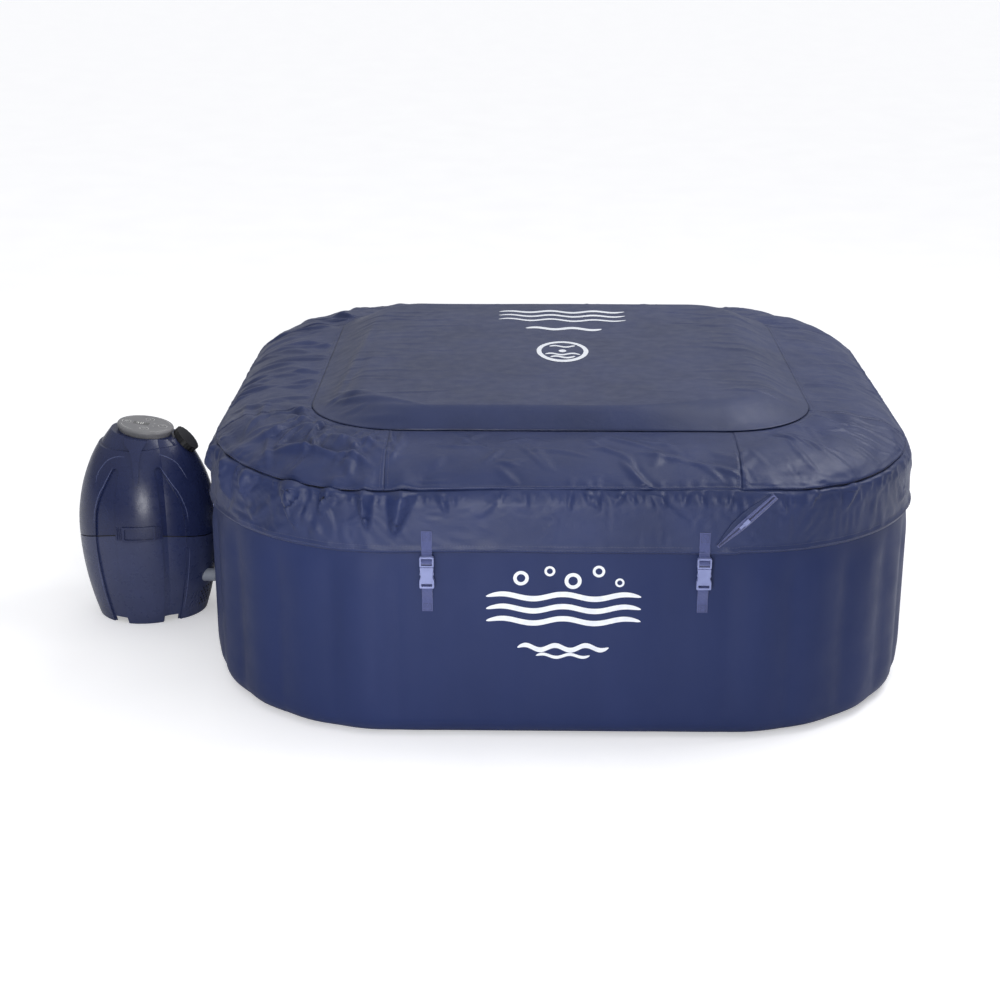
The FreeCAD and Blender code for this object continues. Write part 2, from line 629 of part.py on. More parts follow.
def make_shells():
    outside = body_solid(0)
    for angle, lean in PETALS:
        cutter = radial_tool(petal_outline(lean), FRONT + angle).cut(body_solid(-PETAL, -5))
        outside = outside.cut(cutter)
    outside = outside.cut(collar_cut())
    for angle in TONGUES:
        outline = mirrored([(5.5, 416, 2), (9.5, 474, 60), (16, 503, 25), (31, 523, 4), (31, 540, 0)])
        outside = outside.fuse(radial_tool(outline, FRONT + angle).common(egg(5, 400, EGG_TOP)))
    outside = outside.cut(rod(SEAT_R, NECK_AT - NECK_AXIS * SEAT_DEPTH, NECK_AXIS, 80))
    inside = hollow()
    seat = head_frame(box(-200, 200, -200, 200, 0, 200))
    ceiling = head_frame(box(-200, 200, -200, 200, -4, 200))
    shell = outside.cut(seat).cut(inside.cut(ceiling))
    upper = shell.common(parting(-PARTING_GAP / 2))
    lower = shell.cut(parting(PARTING_GAP / 2))
    for y, z in (*WATER_PORTS, AIR_PORT):
        bore = rod(PUMP_PIPE_R, Vector(PUMP_X + 100, y, z), X, 150)
        lower, upper = lower.cut(bore), upper.cut(bore)
    upper = upper.cut(rod(NECK_R, NECK_AT - NECK_AXIS * 40, NECK_AXIS, 80))
    for angle, _ in PETALS:
        notch = radial_tool([(-20, -5, 0), (20, -5, 0), (20, FOOT_NOTCH, 3), (-20, FOOT_NOTCH, 3)], FRONT + angle)
        lower = lower.cut(notch)
    for angle in (FRONT + 60, -FRONT - 60):
        for k in range(7):
            for row in range(2):
                across, up = -36 + 12 * k, 34 + 26 * row
                slot = [(across - 1.6, up, 0), (across + 1.6, up, 0), (across + 7.6, up + 18, 0),
                        (across + 4.4, up + 18, 0)]
                lower = lower.cut(radial_tool(slot, angle, 100))
    lower = lower.cut(rod(GLAND_R, Vector(PUMP_X, PUMP_Y, GLAND_Z), -FRONT_BACK, 260))
    band = parting(PARTING_GAP / 2).cut(parting(-PARTING_GAP / 2))
    gasket = body_solid(-PETAL - 0.3).cut(body_solid(-SHELL)).common(band)
    return {"pump_upper_shell": upper, "pump_lower_shell": lower, "waist_gasket": gasket}


PUMP_PIPE_R = 18.5
NECK_R = 24.0
NECK_Z = 508.0
NECK_LIFT = math.radians(42)
SEAT_R = 44.0
SEAT_DEPTH = 14.0  # the air outlet's cap lies in a seat, nearly flush with the spine
NECK_AXIS = Vector(math.cos(NECK_LIFT), 0, math.sin(NECK_LIFT))
NECK_AT = Vector(PUMP_X + egg_radius(NECK_Z, SPINE), PUMP_Y, NECK_Z)
FRONT_BACK = Vector(math.cos(math.radians(FRONT)), math.sin(math.radians(FRONT)), 0)  # towards the front
GLAND_R = 9.0
GLAND_Z = 60.0
BASE_Z = (20.0, 24.0)


def make_latches():
    """Plates that hook over the joint line at the front and the back, each with a pocket and side ribs."""
    def layer(half_width, z0, z1, low, high, angle, middle=0.0):
        outline = [(middle - half_width, z0, 0), (middle + half_width, z0, 0), (middle + half_width, z1, 0),
                   (middle - half_width, z1, 0)]
        return radial_tool(outline, FRONT + angle).common(egg(high, 200, 400).cut(egg(low, 190, 410)))

    solids = []
    for angle in LATCHES:
        pieces = [layer(64, 266, 302, 0.05, 1.6, angle), layer(45, 263, 305, 0.05, 5.5, angle)]
        for spot in (50, 55, 60):
            pieces += [layer(1.1, 269, 299, 0.05, 4, angle, side * spot) for side in (-1, 1)]
        solids.append(fused(pieces).cut(layer(39, 269, 299, 1.6, 8, angle)))
    return group(solids)


def make_base_plate():
    """Plate inside the foot of the lower shell, with a hole for each screw."""
    plate = egg(-SHELL, *BASE_Z)
    for x, y in screw_spots():
        plate = plate.cut(rod(2.2, Vector(x, y, BASE_Z[0]), Z, 10))
    return plate


def screw_spots():
    reach = 118.0
    angles = [FRONT + 60 * k for k in range(6)]
    return [(PUMP_X + reach * math.cos(math.radians(a)), PUMP_Y + reach * math.sin(math.radians(a)))
            for a in angles]


def make_screws():
    """Pan-head screws through the base plate."""
    solids = []
    for x, y in screw_spots():
        shank = rod(2.2, Vector(x, y, BASE_Z[0]), Z, 16)
        head = rod(4.2, Vector(x, y, BASE_Z[0] - 2.6), Z, 2.6)
        cross = box(-3, 3, -0.5, 0.5, -3, -1.2).fuse(box(-0.5, 0.5, -3, 3, -3, -1.2))
        solids.append(fused([shank, head]).cut(cross.translated(Vector(x, y, BASE_Z[0]))))
    return group(solids)


# ---------------------------------------------------------------- pump unit: control head
def make_control_head():
    rim = [(0, 0, 0), (73, 0, 0), (HEAD_R, HEAD_HEIGHT - 5, 6), (HEAD_R - 3, HEAD_HEIGHT, 3),
           (0, HEAD_HEIGHT, 0)]
    bezel = rounded_face(rim, in_xz).revolve(ORIGIN, Z, 360)
    bezel = bezel.cut(rod(66, Vector(0, 0, -1), Z, HEAD_FACE + 1))
    cx, length, width = DISPLAY
    pocket = box(cx - length / 2, cx + length / 2, -width / 2, width / 2, HEAD_HEIGHT - 3, HEAD_HEIGHT + 5)
    bezel = bezel.cut(pocket)
    glass = pocket.common(box(-100, 100, -100, 100, 0, HEAD_HEIGHT + 0.2))
    for x, y in BUTTON_SPOTS:
        bezel = bezel.cut(rod(BUTTON_R + LOOSE, Vector(x, y, 5), Z, 20))
    board = rod(60, Vector(0, 0, 3), Z, 1.6)
    chip = box(-10, 10, -10, 10, 4.6, 7.6)
    parts = {
        "control_bezel": bezel,
        "display_window": glass,
        "circuit_board": fused([board, chip]),
    }
    for number, (x, y) in enumerate(BUTTON_SPOTS, 1):
        pad = rod(BUTTON_R, Vector(x, y, HEAD_FACE - 0.5), Z, HEAD_HEIGHT - HEAD_FACE + 1.3)
        pad = pad.makeFillet(0.5, [e for e in pad.Edges if e.BoundBox.ZMin > HEAD_HEIGHT])
        flange = rod(BUTTON_R + 2, Vector(x, y, HEAD_FACE - 1.8), Z, 1.5)
        parts[f"button_{number}"] = fused([pad, flange])
    return {name: head_frame(shape) for name, shape in parts.items()}


# ---------------------------------------------------------------- pump unit: works
MOTOR_AT = Vector(PUMP_X - 35, PUMP_Y + 25, 0)
VOLUTE_Z = (BASE_Z[1], BASE_Z[1] + 30)
BLOWER_Z = (335.0, 385.0)


def vanes(count, r0, r1, z0, z1, thickness=2.0):
    blade = box(r0, r1, -thickness / 2, thickness / 2, z0, z1)
    return [blade.rotated(ORIGIN, Z, 360 * k / count) for k in range(count)]


def make_water_pump():
    z0, z1 = VOLUTE_Z
    volute = rod(52, MOTOR_AT + Z * z0, Z, z1 - z0).cut(rod(47, MOTOR_AT + Z * (z0 + 3), Z, z1 - z0 - 7))
    volute = volute.cut(rod(8, MOTOR_AT + Z * z0, Z, 60))
    motor = rod(42, MOTOR_AT + Z * z1, Z, 100).cut(rod(5 + RUNNING, MOTOR_AT + Z * (z1 - 1), Z, 31))
    for k in range(16):
        rib = box(41, 46, -1.5, 1.5, z1 + 10, z1 + 90).rotated(ORIGIN, Z, 22.5 * k).translated(MOTOR_AT)
        motor = motor.fuse(rib)
    wheel = fused([rod(42, Z * (z0 + 5), Z, 3), rod(10, Z * (z0 + 5), Z, 17),
                   rod(5, Z * (z0 + 5), Z, z1 - z0 + 22)] + vanes(6, 4, 40, z0 + 7, z0 + 20))
    return {"pump_volute": volute, "pump_motor": motor.removeSplitter(),
            "pump_impeller": wheel.translated(MOTOR_AT)}


def make_blower():
    z0, z1 = BLOWER_Z
    housing = rod(74, AXIS_AT + Z * z0, Z, z1 - z0).cut(rod(70, AXIS_AT + Z * (z0 + 4), Z, z1 - z0 - 8))
    housing = housing.cut(rod(26, AXIS_AT + Z * z0, Z, 10))
    motor = rod(30, AXIS_AT + Z * z1, Z, 40).cut(rod(4 + RUNNING, AXIS_AT + Z * (z1 - 5), Z, 30))
    housing = housing.fuse(motor).removeSplitter().cut(rod(4 + RUNNING, AXIS_AT + Z * (z1 - 5), Z, 30))
    fan = fused([rod(60, Z * (z0 + 8), Z, 3), rod(10, Z * (z0 + 8), Z, 20), rod(4, Z * (z0 + 8), Z, 60)]
                + vanes(16, 44, 60, z0 + 10, z1 - 10))
    return {"blower_housing": housing, "blower_fan": fan.translated(AXIS_AT)}


HEATER_AT = Vector(PUMP_X + 45, PUMP_Y + 75, 0)


def make_heater():
    shell = pipe(24, 22, HEATER_AT + Z * 70, Z, 190)
    caps = [pipe(24, 14, HEATER_AT + Z * z, Z, 3) for z in (67, 260)]
    return fused([shell] + caps)


def make_pump_pipes():
    """The unit's own three pipes, each from its works out through the spine to a collar at the coupling."""
    end = -PORT_END - 0.6
    solids = []
    inside = {WATER_PORTS[0]: MOTOR_AT.x + 70, WATER_PORTS[1]: HEATER_AT.x + 40, AIR_PORT: PUMP_X + 90}
    for (y, z), start in inside.items():
        tube = rod(PUMP_PIPE_R, Vector(start, y, z), X, end - start)
        collar = rod(COLLAR_R, Vector(end - 3.6, y, z), X, 3.6)
        solids.append(tube.fuse(collar).removeSplitter().cut(rod(15, Vector(start, y, z), X, 400)))
    return group(solids)


def make_union_nut(y, z):
    """Knurled nut that hangs on the pump's pipe and screws over the tub's thread."""
    x0, x1 = NUT_X
    nut = rod(NUT_R, Vector(x0, y, z), X, x1 - x0)
    lip = -PORT_END - 0.6 - 3.6 - LOOSE
    nut = nut.cut(rod(THREAD_R + LOOSE, Vector(lip, y, z), X, 60))
    nut = nut.cut(rod(PUMP_PIPE_R + LOOSE, Vector(x0 - 1, y, z), X, 60))
    for k in range(18):
        groove = box(x0 + 4, x1 - 4, -1.3, 1.3, NUT_R - 1.5, NUT_R + 2).rotated(ORIGIN, X, 20 * k)
        nut = nut.cut(groove.translated(Vector(0, y, z)))
    return nut


def make_air_outlet():
    """Neck in the spine's shoulder for the inflation hose, and the black cap that closes it."""
    neck = pipe(NECK_R, NECK_R - 4, NECK_AT - NECK_AXIS * 40, NECK_AXIS, 36)
    cap = screw_cap(SEAT_R - 4, 16, NECK_AT - NECK_AXIS * (SEAT_DEPTH - 1), NECK_AXIS, 18)
    cap = cap.cut(rod(NECK_R + LOOSE, NECK_AT - NECK_AXIS * SEAT_DEPTH, NECK_AXIS, SEAT_DEPTH - 4 + LOOSE))
    return {"air_outlet_neck": neck, "air_outlet_cap": cap}


def make_gland():
    """Where the mains lead would leave, at the back of the lower shell."""
    out = FRONT_BACK * -1
    reach = egg_radius(GLAND_Z, 0)
    at = Vector(PUMP_X, PUMP_Y, GLAND_Z) + out * (reach - 19)
    gland = fused([rod(GLAND_R, at, out, 26), rod(15, at, out, 5), rod(13, at + out * 23, out, 6)])
    return gland.cut(rod(4, at, out, 40))


def make_all():
    parts = {}
    parts.update(make_skins())
    parts["wall_webs"] = make_webs()
    parts["bubble_channel"] = make_bubble_channel()
    parts["water_pipes"] = group([make_water_pipe(y, z) for y, z in WATER_PORTS])
    parts["air_pipe"] = make_air_pipe()
    parts.update(make_filter())
    parts["debris_screen"] = make_debris_screen()
    parts.update(make_air_valve())
    parts.update(make_drain_valve())
    parts.update(make_clips())
    parts.update(make_cover())
    parts["lid_insert"] = make_lid()
    parts.update(make_zip())
    parts.update(make_shells())
    parts["waist_latches"] = make_latches()
    parts["pump_base_plate"] = make_base_plate()
    parts["case_screws"] = make_screws()
    parts.update(make_control_head())
    parts.update(make_water_pump())
    parts.update(make_blower())
    parts["heater_tube"] = make_heater()
    parts["pump_pipes"] = make_pump_pipes()
    for name, port in (("inlet", WATER_PORTS[0]), ("outlet", WATER_PORTS[1]), ("air", AIR_PORT)):
        parts[f"union_nut_{name}"] = make_union_nut(*port)
    parts.update(make_air_outlet())
    parts["cord_gland"] = make_gland()
    return parts


os.makedirs("parts", exist_ok=True)
for old in os.listdir("parts"):
    os.remove(os.path.join("parts", old))
for name, shape in make_all().items():
    if not shape.isValid() or not shape.Solids:
        print("check", name, "valid:", shape.isValid(), "solids:", len(shape.Solids))
    shape.exportStep(f"parts/{name}.step")
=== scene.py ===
"""Looks of the inflatable hot tub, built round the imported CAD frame. Metres, +Z up, -Y is the tub's front."""

import math

import bpy
import numpy as np
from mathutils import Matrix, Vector
from mathutils.bvhtree import BVHTree


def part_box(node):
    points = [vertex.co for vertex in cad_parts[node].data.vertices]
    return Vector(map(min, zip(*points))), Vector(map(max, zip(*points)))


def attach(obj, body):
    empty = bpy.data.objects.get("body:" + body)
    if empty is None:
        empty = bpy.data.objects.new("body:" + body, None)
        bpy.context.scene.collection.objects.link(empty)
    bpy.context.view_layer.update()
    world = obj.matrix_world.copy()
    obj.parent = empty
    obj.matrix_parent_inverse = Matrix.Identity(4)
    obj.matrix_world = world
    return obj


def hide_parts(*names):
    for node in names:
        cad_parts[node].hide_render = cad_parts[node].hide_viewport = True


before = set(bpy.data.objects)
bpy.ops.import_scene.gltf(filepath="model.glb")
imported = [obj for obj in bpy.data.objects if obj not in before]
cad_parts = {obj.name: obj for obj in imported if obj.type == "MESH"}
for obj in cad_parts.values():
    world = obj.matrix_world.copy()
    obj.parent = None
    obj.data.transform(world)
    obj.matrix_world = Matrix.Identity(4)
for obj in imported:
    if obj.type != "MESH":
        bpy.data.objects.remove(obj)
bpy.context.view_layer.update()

# ---- Driving sizes: some read from the frame, the rest given ----
WALL_LOW, WALL_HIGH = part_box("outer_wall")
HALF = WALL_HIGH[0]  # half of the tub's width
CORNER = 0.5  # outside corner radius
CORE = HALF - CORNER  # the corner arcs are centred at (+-CORE, +-CORE)
RIM_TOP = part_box("top_ring")[1][2]
RIM_ROUND = 0.11
FOOT_ROUND = 0.05
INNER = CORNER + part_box("inner_wall")[1][0] - HALF  # inner wall, from a corner's centre
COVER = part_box("cover_skirt")[1][0] - CORE  # outside of the skirt, from a corner's centre
HEM_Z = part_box("cover_skirt")[0][2]
SEAM_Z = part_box("cover_skirt")[1][2]
PANEL_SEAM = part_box("cover_top_panel")[1][0] - CORE
PANEL_SEAM_Z = 0.7095
PLATEAU_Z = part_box("cover_top_panel")[1][2]
SIDE = 2 * CORE
QUARTER = SIDE + CORNER * math.pi / 2  # a quarter of the way round, at the outside wall
AROUND = 4 * QUARTER
WEB_STEP = 0.16
WEB_SPOTS = [0.0, 0.16, 0.32, 0.48, 0.64, 0.8] + [SIDE + CORNER * math.radians(18 * k) for k in (1, 2, 3, 4)]
CLIP_SPOTS = (-0.320, 0.336)  # along each side
BUCKLE_Z = 0.403  # lower end of a closed buckle
WEBBING_WIDTH = 0.0254
ZIP_START, ZIP_END = (0.366, 0.508), (0.497, 0.632)  # x and z of its ends on the skirt


# ---------------------------------------------------------------- mesh helpers
def make_object(name, vertices, faces, material=None, smooth=True):
    mesh = bpy.data.meshes.new(name)
    mesh.from_pydata([tuple(v) for v in np.asarray(vertices, float)], [], [tuple(f) for f in faces])
    mesh.update()
    if smooth:
        mesh.polygons.foreach_set("use_smooth", [True] * len(mesh.polygons))
    obj = bpy.data.objects.new(name, mesh)
    bpy.context.scene.collection.objects.link(obj)
    if material:
        mesh.materials.append(material)
    return obj


def grid_faces(rows, columns, wrap_rows=False, wrap_columns=False, flip=False):
    faces = []
    for i in range(rows if wrap_rows else rows - 1):
        for j in range(columns if wrap_columns else columns - 1):
            a = i * columns + j
            b = i * columns + (j + 1) % columns
            c = ((i + 1) % rows) * columns + (j + 1) % columns
            d = ((i + 1) % rows) * columns + j
            faces.append((a, d, c, b) if flip else (a, b, c, d))
    return faces


def solidify(obj, thickness):
    modifier = obj.modifiers.new("thickness", "SOLIDIFY")
    modifier.thickness = thickness
    modifier.offset = -1.0
    modifier.use_even_offset = False


def run_along(path):
    """Distance from the start of a path to each of its points."""
    return np.concatenate([[0], np.cumsum(np.linalg.norm(np.diff(path, axis=0), axis=1))])


def sampled(spots, run, values):
    """Rows of three values, known at the distances run, at other distances."""
    return np.stack([np.interp(spots, run, values[:, k]) for k in range(3)], axis=-1)


def smooth_step(x, low, high):
    t = np.clip((np.asarray(x, float) - low) / (high - low), 0, 1)
    return t * t * (3 - 2 * t)


def bump_at(x, centre, width):
    return np.exp(-(((np.asarray(x, float) - centre) / width) ** 2))


class Noise:
    """Smooth random waves: a sum of sines with seeded directions, the same on every run."""

    def __init__(self, seed, count=24, low=1.0, high=4.0):
        r = np.random.default_rng(seed)
        angle = r.uniform(0, 2 * math.pi, count)
        size = np.exp(r.uniform(math.log(low), math.log(high), count))
        self.kx = size * np.cos(angle)
        self.ky = size * np.sin(angle)
        self.phase = r.uniform(0, 2 * math.pi, count)
        self.weight = 1 / np.sqrt(count / 2)

    def __call__(self, x, y):
        x, y = np.broadcast_arrays(np.asarray(x, float), np.asarray(y, float))
        total = np.zeros(x.shape)
        for kx, ky, phase in zip(self.kx, self.ky, self.phase):
            total += np.sin(2 * math.pi * (kx * x + ky * y) + phase)
        return total * self.weight


# ---------------------------------------------------------------- round the square
def square_at(s):
    """Point on the core square and outward direction, at distance s round the tub from the front's middle."""
    s = np.asarray(s, float)
    u = np.mod(s + CORE, AROUND)
    quarter = np.floor(u / QUARTER).astype(int)
    u = u - quarter * QUARTER
    straight = u < SIDE
    turn = np.where(straight, 0.0, (u - SIDE) / CORNER)
    x = np.where(straight, u - CORE, CORE)
    y = np.full_like(x, -CORE)
    nx, ny = np.sin(turn), -np.cos(turn)
    for _ in range(3):
        more = quarter > 0
        x, y = np.where(more, -y, x), np.where(more, x, y)
        nx, ny = np.where(more, -ny, nx), np.where(more, nx, ny)
        quarter = quarter - 1
    return x, y, nx, ny


def ring_points(s, rho, z):
    """Points for every s (columns) along a profile (rows). rho and z broadcast to (rows, columns)."""
    x, y, nx, ny = square_at(s)
    rho, z = np.broadcast_arrays(rho, z)
    rho = np.broadcast_to(rho, (rho.shape[0], len(s)))
    z = np.broadcast_to(z, rho.shape)
    return np.stack([x + nx * rho, y + ny * rho, z], axis=-1)


def oval(centre, size, start, end, steps):
    """Part of an oval with those half axes, from one angle to another in degrees."""
    angle = np.radians(np.linspace(start, end, steps))
    return np.stack([centre[0] + size[0] * np.cos(angle), centre[1] + size[1] * np.sin(angle)], axis=1)


def line(a, b, steps):
    t = np.linspace(0, 1, steps)[:, None]
    return np.asarray(a, float) * (1 - t) + np.asarray(b, float) * t


def joined(*runs):
    """Runs of profile points as one, without doubled points, and the outward direction at each."""
    points = np.concatenate([runs[0]] + [run[1:] for run in runs[1:]])
    along = np.gradient(points, axis=0)
    along /= np.linalg.norm(along, axis=1, keepdims=True)
    out = np.stack([along[:, 1], -along[:, 0]], axis=1)
    return points, out


# ---------------------------------------------------------------- materials
def srgb(r, g, b):
    def linear(c):
        c /= 255
        return c / 12.92 if c <= 0.04045 else ((c + 0.055) / 1.055) ** 2.4

    return (linear(r), linear(g), linear(b), 1)


class Shader:
    """A material being put together: node() adds a node and link() joins two sockets."""

    def __init__(self, name):
        self.material = bpy.data.materials.new(name)
        self.material.use_nodes = True
        self.tree = self.material.node_tree
        self.base = self.tree.nodes["Principled BSDF"]
        self.where = self.node("ShaderNodeTexCoord").outputs["Object"]

    def node(self, kind, **settings):
        made = self.tree.nodes.new(kind)
        for key, value in settings.items():
            setattr(made, key, value)
        return made

    def link(self, out, into):
        self.tree.links.new(out, into)

    def noise(self, scale, detail=3.0, rough=0.5, stretch=None, warp=0.0):
        made = self.node("ShaderNodeTexNoise")
        made.inputs["Scale"].default_value = scale
        made.inputs["Detail"].default_value = detail
        made.inputs["Roughness"].default_value = rough
        made.inputs["Distortion"].default_value = warp
        where = self.where
        if stretch:
            mapping = self.node("ShaderNodeMapping")
            mapping.inputs["Scale"].default_value = stretch
            self.link(where, mapping.inputs["Vector"])
            where = mapping.outputs["Vector"]
        self.link(where, made.inputs["Vector"])
        return made.outputs["Fac"]

    def ramp(self, fac, stops):
        made = self.node("ShaderNodeValToRGB")
        elements = made.color_ramp.elements
        while len(elements) < len(stops):
            elements.new(0.5)
        for element, (at, colour) in zip(elements, stops):
            element.position = at
            element.color = colour if len(colour) == 4 else (*colour, 1)
        self.link(fac, made.inputs["Fac"])
        return made.outputs["Color"]

    def grey(self, fac, low, high, start=0.3, end=0.7):
        return self.ramp(fac, [(start, (low,) * 3), (end, (high,) * 3)])

    def math(self, operation, a, b=0.0):
        made = self.node("ShaderNodeMath", operation=operation)
        for socket, value in zip(made.inputs, (a, b)):
            if isinstance(value, (int, float)):
                socket.default_value = value
            else:
                self.link(value, socket)
        return made.outputs["Value"]

    def mix(self, fac, a, b):
        made = self.node("ShaderNodeMix", data_type="RGBA")
        for socket, value in zip((made.inputs[0], made.inputs[6], made.inputs[7]), (fac, a, b)):
            if isinstance(value, (int, float, tuple)):
                socket.default_value = value
            else:
                self.link(value, socket)
        return made.outputs[2]

    def bump(self, height, distance, strength=1.0):
        made = self.node("ShaderNodeBump")
        made.inputs["Distance"].default_value = distance
        made.inputs["Strength"].default_value = strength
        self.link(height, made.inputs["Height"])
        normal = self.base.inputs["Normal"]
        if normal.links:
            before = normal.links[0].from_socket
            self.link(before, made.inputs["Normal"])
        self.link(made.outputs["Normal"], normal)

    def set(self, **values):
        names = {"rough": "Roughness", "metal": "Metallic", "coat": "Coat Weight", "coat_rough": "Coat Roughness",
                 "sheen": "Sheen Weight", "sheen_rough": "Sheen Roughness", "specular": "Specular IOR Level"}
        for key, value in values.items():
            self.base.inputs[names[key]].default_value = value

    def colour(self, value):
        socket = self.base.inputs["Base Color"]
        if isinstance(value, tuple):
            socket.default_value = value
        else:
            self.link(value, socket)

    def rough(self, value):
        self.link(value, self.base.inputs["Roughness"])

    def weave(self, pitch):
        """Plain weave: two sets of threads, over and under, from the object's coordinates."""
        parts = self.node("ShaderNodeSeparateXYZ")
        self.link(self.where, parts.inputs[0])
        waves = []
        for pair in (("X", "Z"), ("Y", "Z"), ("X", "Y")):
            a, b = [self.math("SINE", self.math("MULTIPLY", parts.outputs[axis], 2 * math.pi / pitch))
                    for axis in pair]
            waves.append(self.math("MULTIPLY", a, b))
        return self.math("ADD", self.math("ADD", waves[0], waves[1]), waves[2])


def two_tone(shader, dark, light, scale, stretch=None):
    return shader.ramp(shader.noise(scale, 4.0, 0.55, stretch), [(0.32, srgb(*dark)), (0.68, srgb(*light))])


def make_wall_vinyl(name, dark, light):
    rough = 0.48
    m = Shader(name)
    m.colour(two_tone(m, dark, light, 5.0, (1, 1, 0.35)))
    m.rough(m.grey(m.noise(14, 4), rough - 0.05, rough + 0.08))
    m.bump(m.noise(1400, 2), 0.00012, 0.5)
    m.bump(m.noise(180, 3), 0.00025, 0.35)
    m.set(specular=0.26)
    return m.material


def make_cover_fabric(name, dark, light):
    rough = 0.42
    m = Shader(name)
    m.colour(two_tone(m, dark, light, 6.0))
    m.rough(m.grey(m.noise(30, 4), rough - 0.06, rough + 0.08))
    m.bump(m.weave(0.0016), 0.00006, 0.6)
    m.bump(m.noise(95, 4, 0.6, warp=0.6), 0.0009, 0.35)
    m.bump(m.noise(28, 3, 0.5, warp=1.0), 0.0022, 0.25)
    m.set(sheen=0.05, sheen_rough=0.4, specular=0.38)
    return m.material


def make_webbing(name="webbing", dark=(62, 70, 118), light=(98, 107, 160)):
    m = Shader(name)
    parts = m.node("ShaderNodeSeparateXYZ")
    m.link(m.where, parts.inputs[0])
    rows = m.math("SINE", m.math("MULTIPLY", parts.outputs["Z"], 2 * math.pi / 0.0022))
    twill = m.math("ADD", parts.outputs["X"], parts.outputs["Y"])
    cords = m.math("SINE", m.math("MULTIPLY", twill, 2 * math.pi / 0.0030))
    height = m.math("ADD", rows, m.math("MULTIPLY", cords, 0.8))
    m.colour(m.mix(m.grey(height, 0.0, 1.0, 0.0, 1.0), srgb(*dark), srgb(*light)))
    m.bump(height, 0.0002, 0.9)
    m.set(rough=0.75, sheen=0.3, sheen_rough=0.5)
    return m.material


def make_plastic(name, dark, light, rough, grain=0.3):
    m = Shader(name)
    m.colour(two_tone(m, dark, light, 18))
    m.rough(m.grey(m.noise(60, 3), max(rough - 0.05, 0.02), rough + 0.05))
    m.bump(m.noise(900, 2), 0.00008, grain)
    m.set(specular=0.4)
    return m.material


def make_metal(name, colour, rough):
    m = Shader(name)
    m.colour(two_tone(m, tuple(int(c * 0.85) for c in colour), colour, 40))
    m.rough(m.grey(m.noise(300, 2, 0.5, (1, 1, 12)), rough - 0.06, rough + 0.1))
    m.bump(m.noise(700, 2, 0.5, (1, 1, 20)), 0.00005, 0.5)
    m.set(metal=1.0)
    return m.material


def make_plain(name, dark, light, scale, grain=None, **values):
    """Two tones in patches, with a fine grain given as (scale, detail, depth, strength)."""
    m = Shader(name)
    m.colour(two_tone(m, dark, light, scale))
    if grain:
        size, detail, depth, strength = grain
        m.bump(m.noise(size, detail), depth, strength)
    m.set(**values)
    return m.material


MATERIALS = {
    "wall": make_wall_vinyl("wall_vinyl", (30, 43, 86), (35, 48, 93)),
    "liner": make_wall_vinyl("liner_vinyl", (58, 74, 122), (68, 86, 136)),
    "cover": make_cover_fabric("cover_fabric", (32, 44, 84), (39, 51, 94)),
    "cover_top": make_cover_fabric("cover_top_fabric", (34, 45, 82), (41, 52, 92)),
    "webbing": make_webbing(),
    "zip_tape": make_webbing("zip_tape_weave", (84, 91, 138), (110, 118, 168)),
    "buckle": make_plastic("buckle_plastic", (122, 130, 176), (140, 148, 194), 0.36),
    "pump": make_plastic("pump_plastic", (35, 42, 77), (38, 46, 82), 0.29, 0.0),
    # Lower shell: the pump's navy made lighter, a painted reflection of the bright floor
    "pump_low": make_plastic("pump_low_painted_floor_reflection", (52, 59, 92), (56, 63, 98), 0.3, 0.0),
    # Edge beads: lighter than the shell, a painted highlight where the light catches the moulded edges
    "pump_edge": make_plastic("pump_edge_painted_highlight", (74, 82, 120), (86, 94, 134), 0.3),
    "panel": make_plastic("panel_plastic", (117, 117, 120), (128, 127, 130), 0.42),
    "black": make_plastic("black_plastic", (16, 16, 19), (24, 24, 28), 0.38),
    "fitting": make_plastic("fitting_plastic", (134, 140, 154), (150, 156, 168), 0.4),
    "white": make_plastic("white_plastic", (222, 225, 230), (236, 238, 242), 0.35),
    # Near-black rubber for the waist gasket; on the vent discs the same near-black is painted shade of the holes
    "seal": make_plastic("black_rubber_and_painted_vent_shade", (13, 13, 17), (22, 22, 27), 0.7, 0.6),
    "steel": make_metal("steel", (170, 172, 175), 0.3),
    "motor": make_plastic("motor_paint", (30, 31, 34), (42, 43, 46), 0.5, 0.5),
    "paper": make_plain("filter_paper", (218, 224, 230), (240, 243, 246), 40, (900, 4, 0.0003, 0.8), rough=0.9),
    "board": make_plain("board", (14, 62, 34), (22, 84, 46), 90, (400, 1, 0.0002, 0.5), rough=0.35),
    "display": make_plain("display", (20, 21, 25), (28, 29, 34), 30, rough=0.08, coat=0.6, coat_rough=0.04),
    "print": make_plain("white_print", (226, 230, 238), (240, 243, 250), 60, (1400, 2, 0.0001, 0.5), rough=0.5),
    "thread": make_plain("thread", (52, 58, 92), (72, 78, 116), 500, (3000, 1, 0.0001, 0.6), rough=0.6, sheen=0.3),
    "panel_print": make_plain("panel_print", (228, 228, 226), (244, 244, 242), 200, rough=0.5),
    "zip": make_plastic("zip_coil", (40, 42, 66), (56, 58, 86), 0.45, 0.3),
}

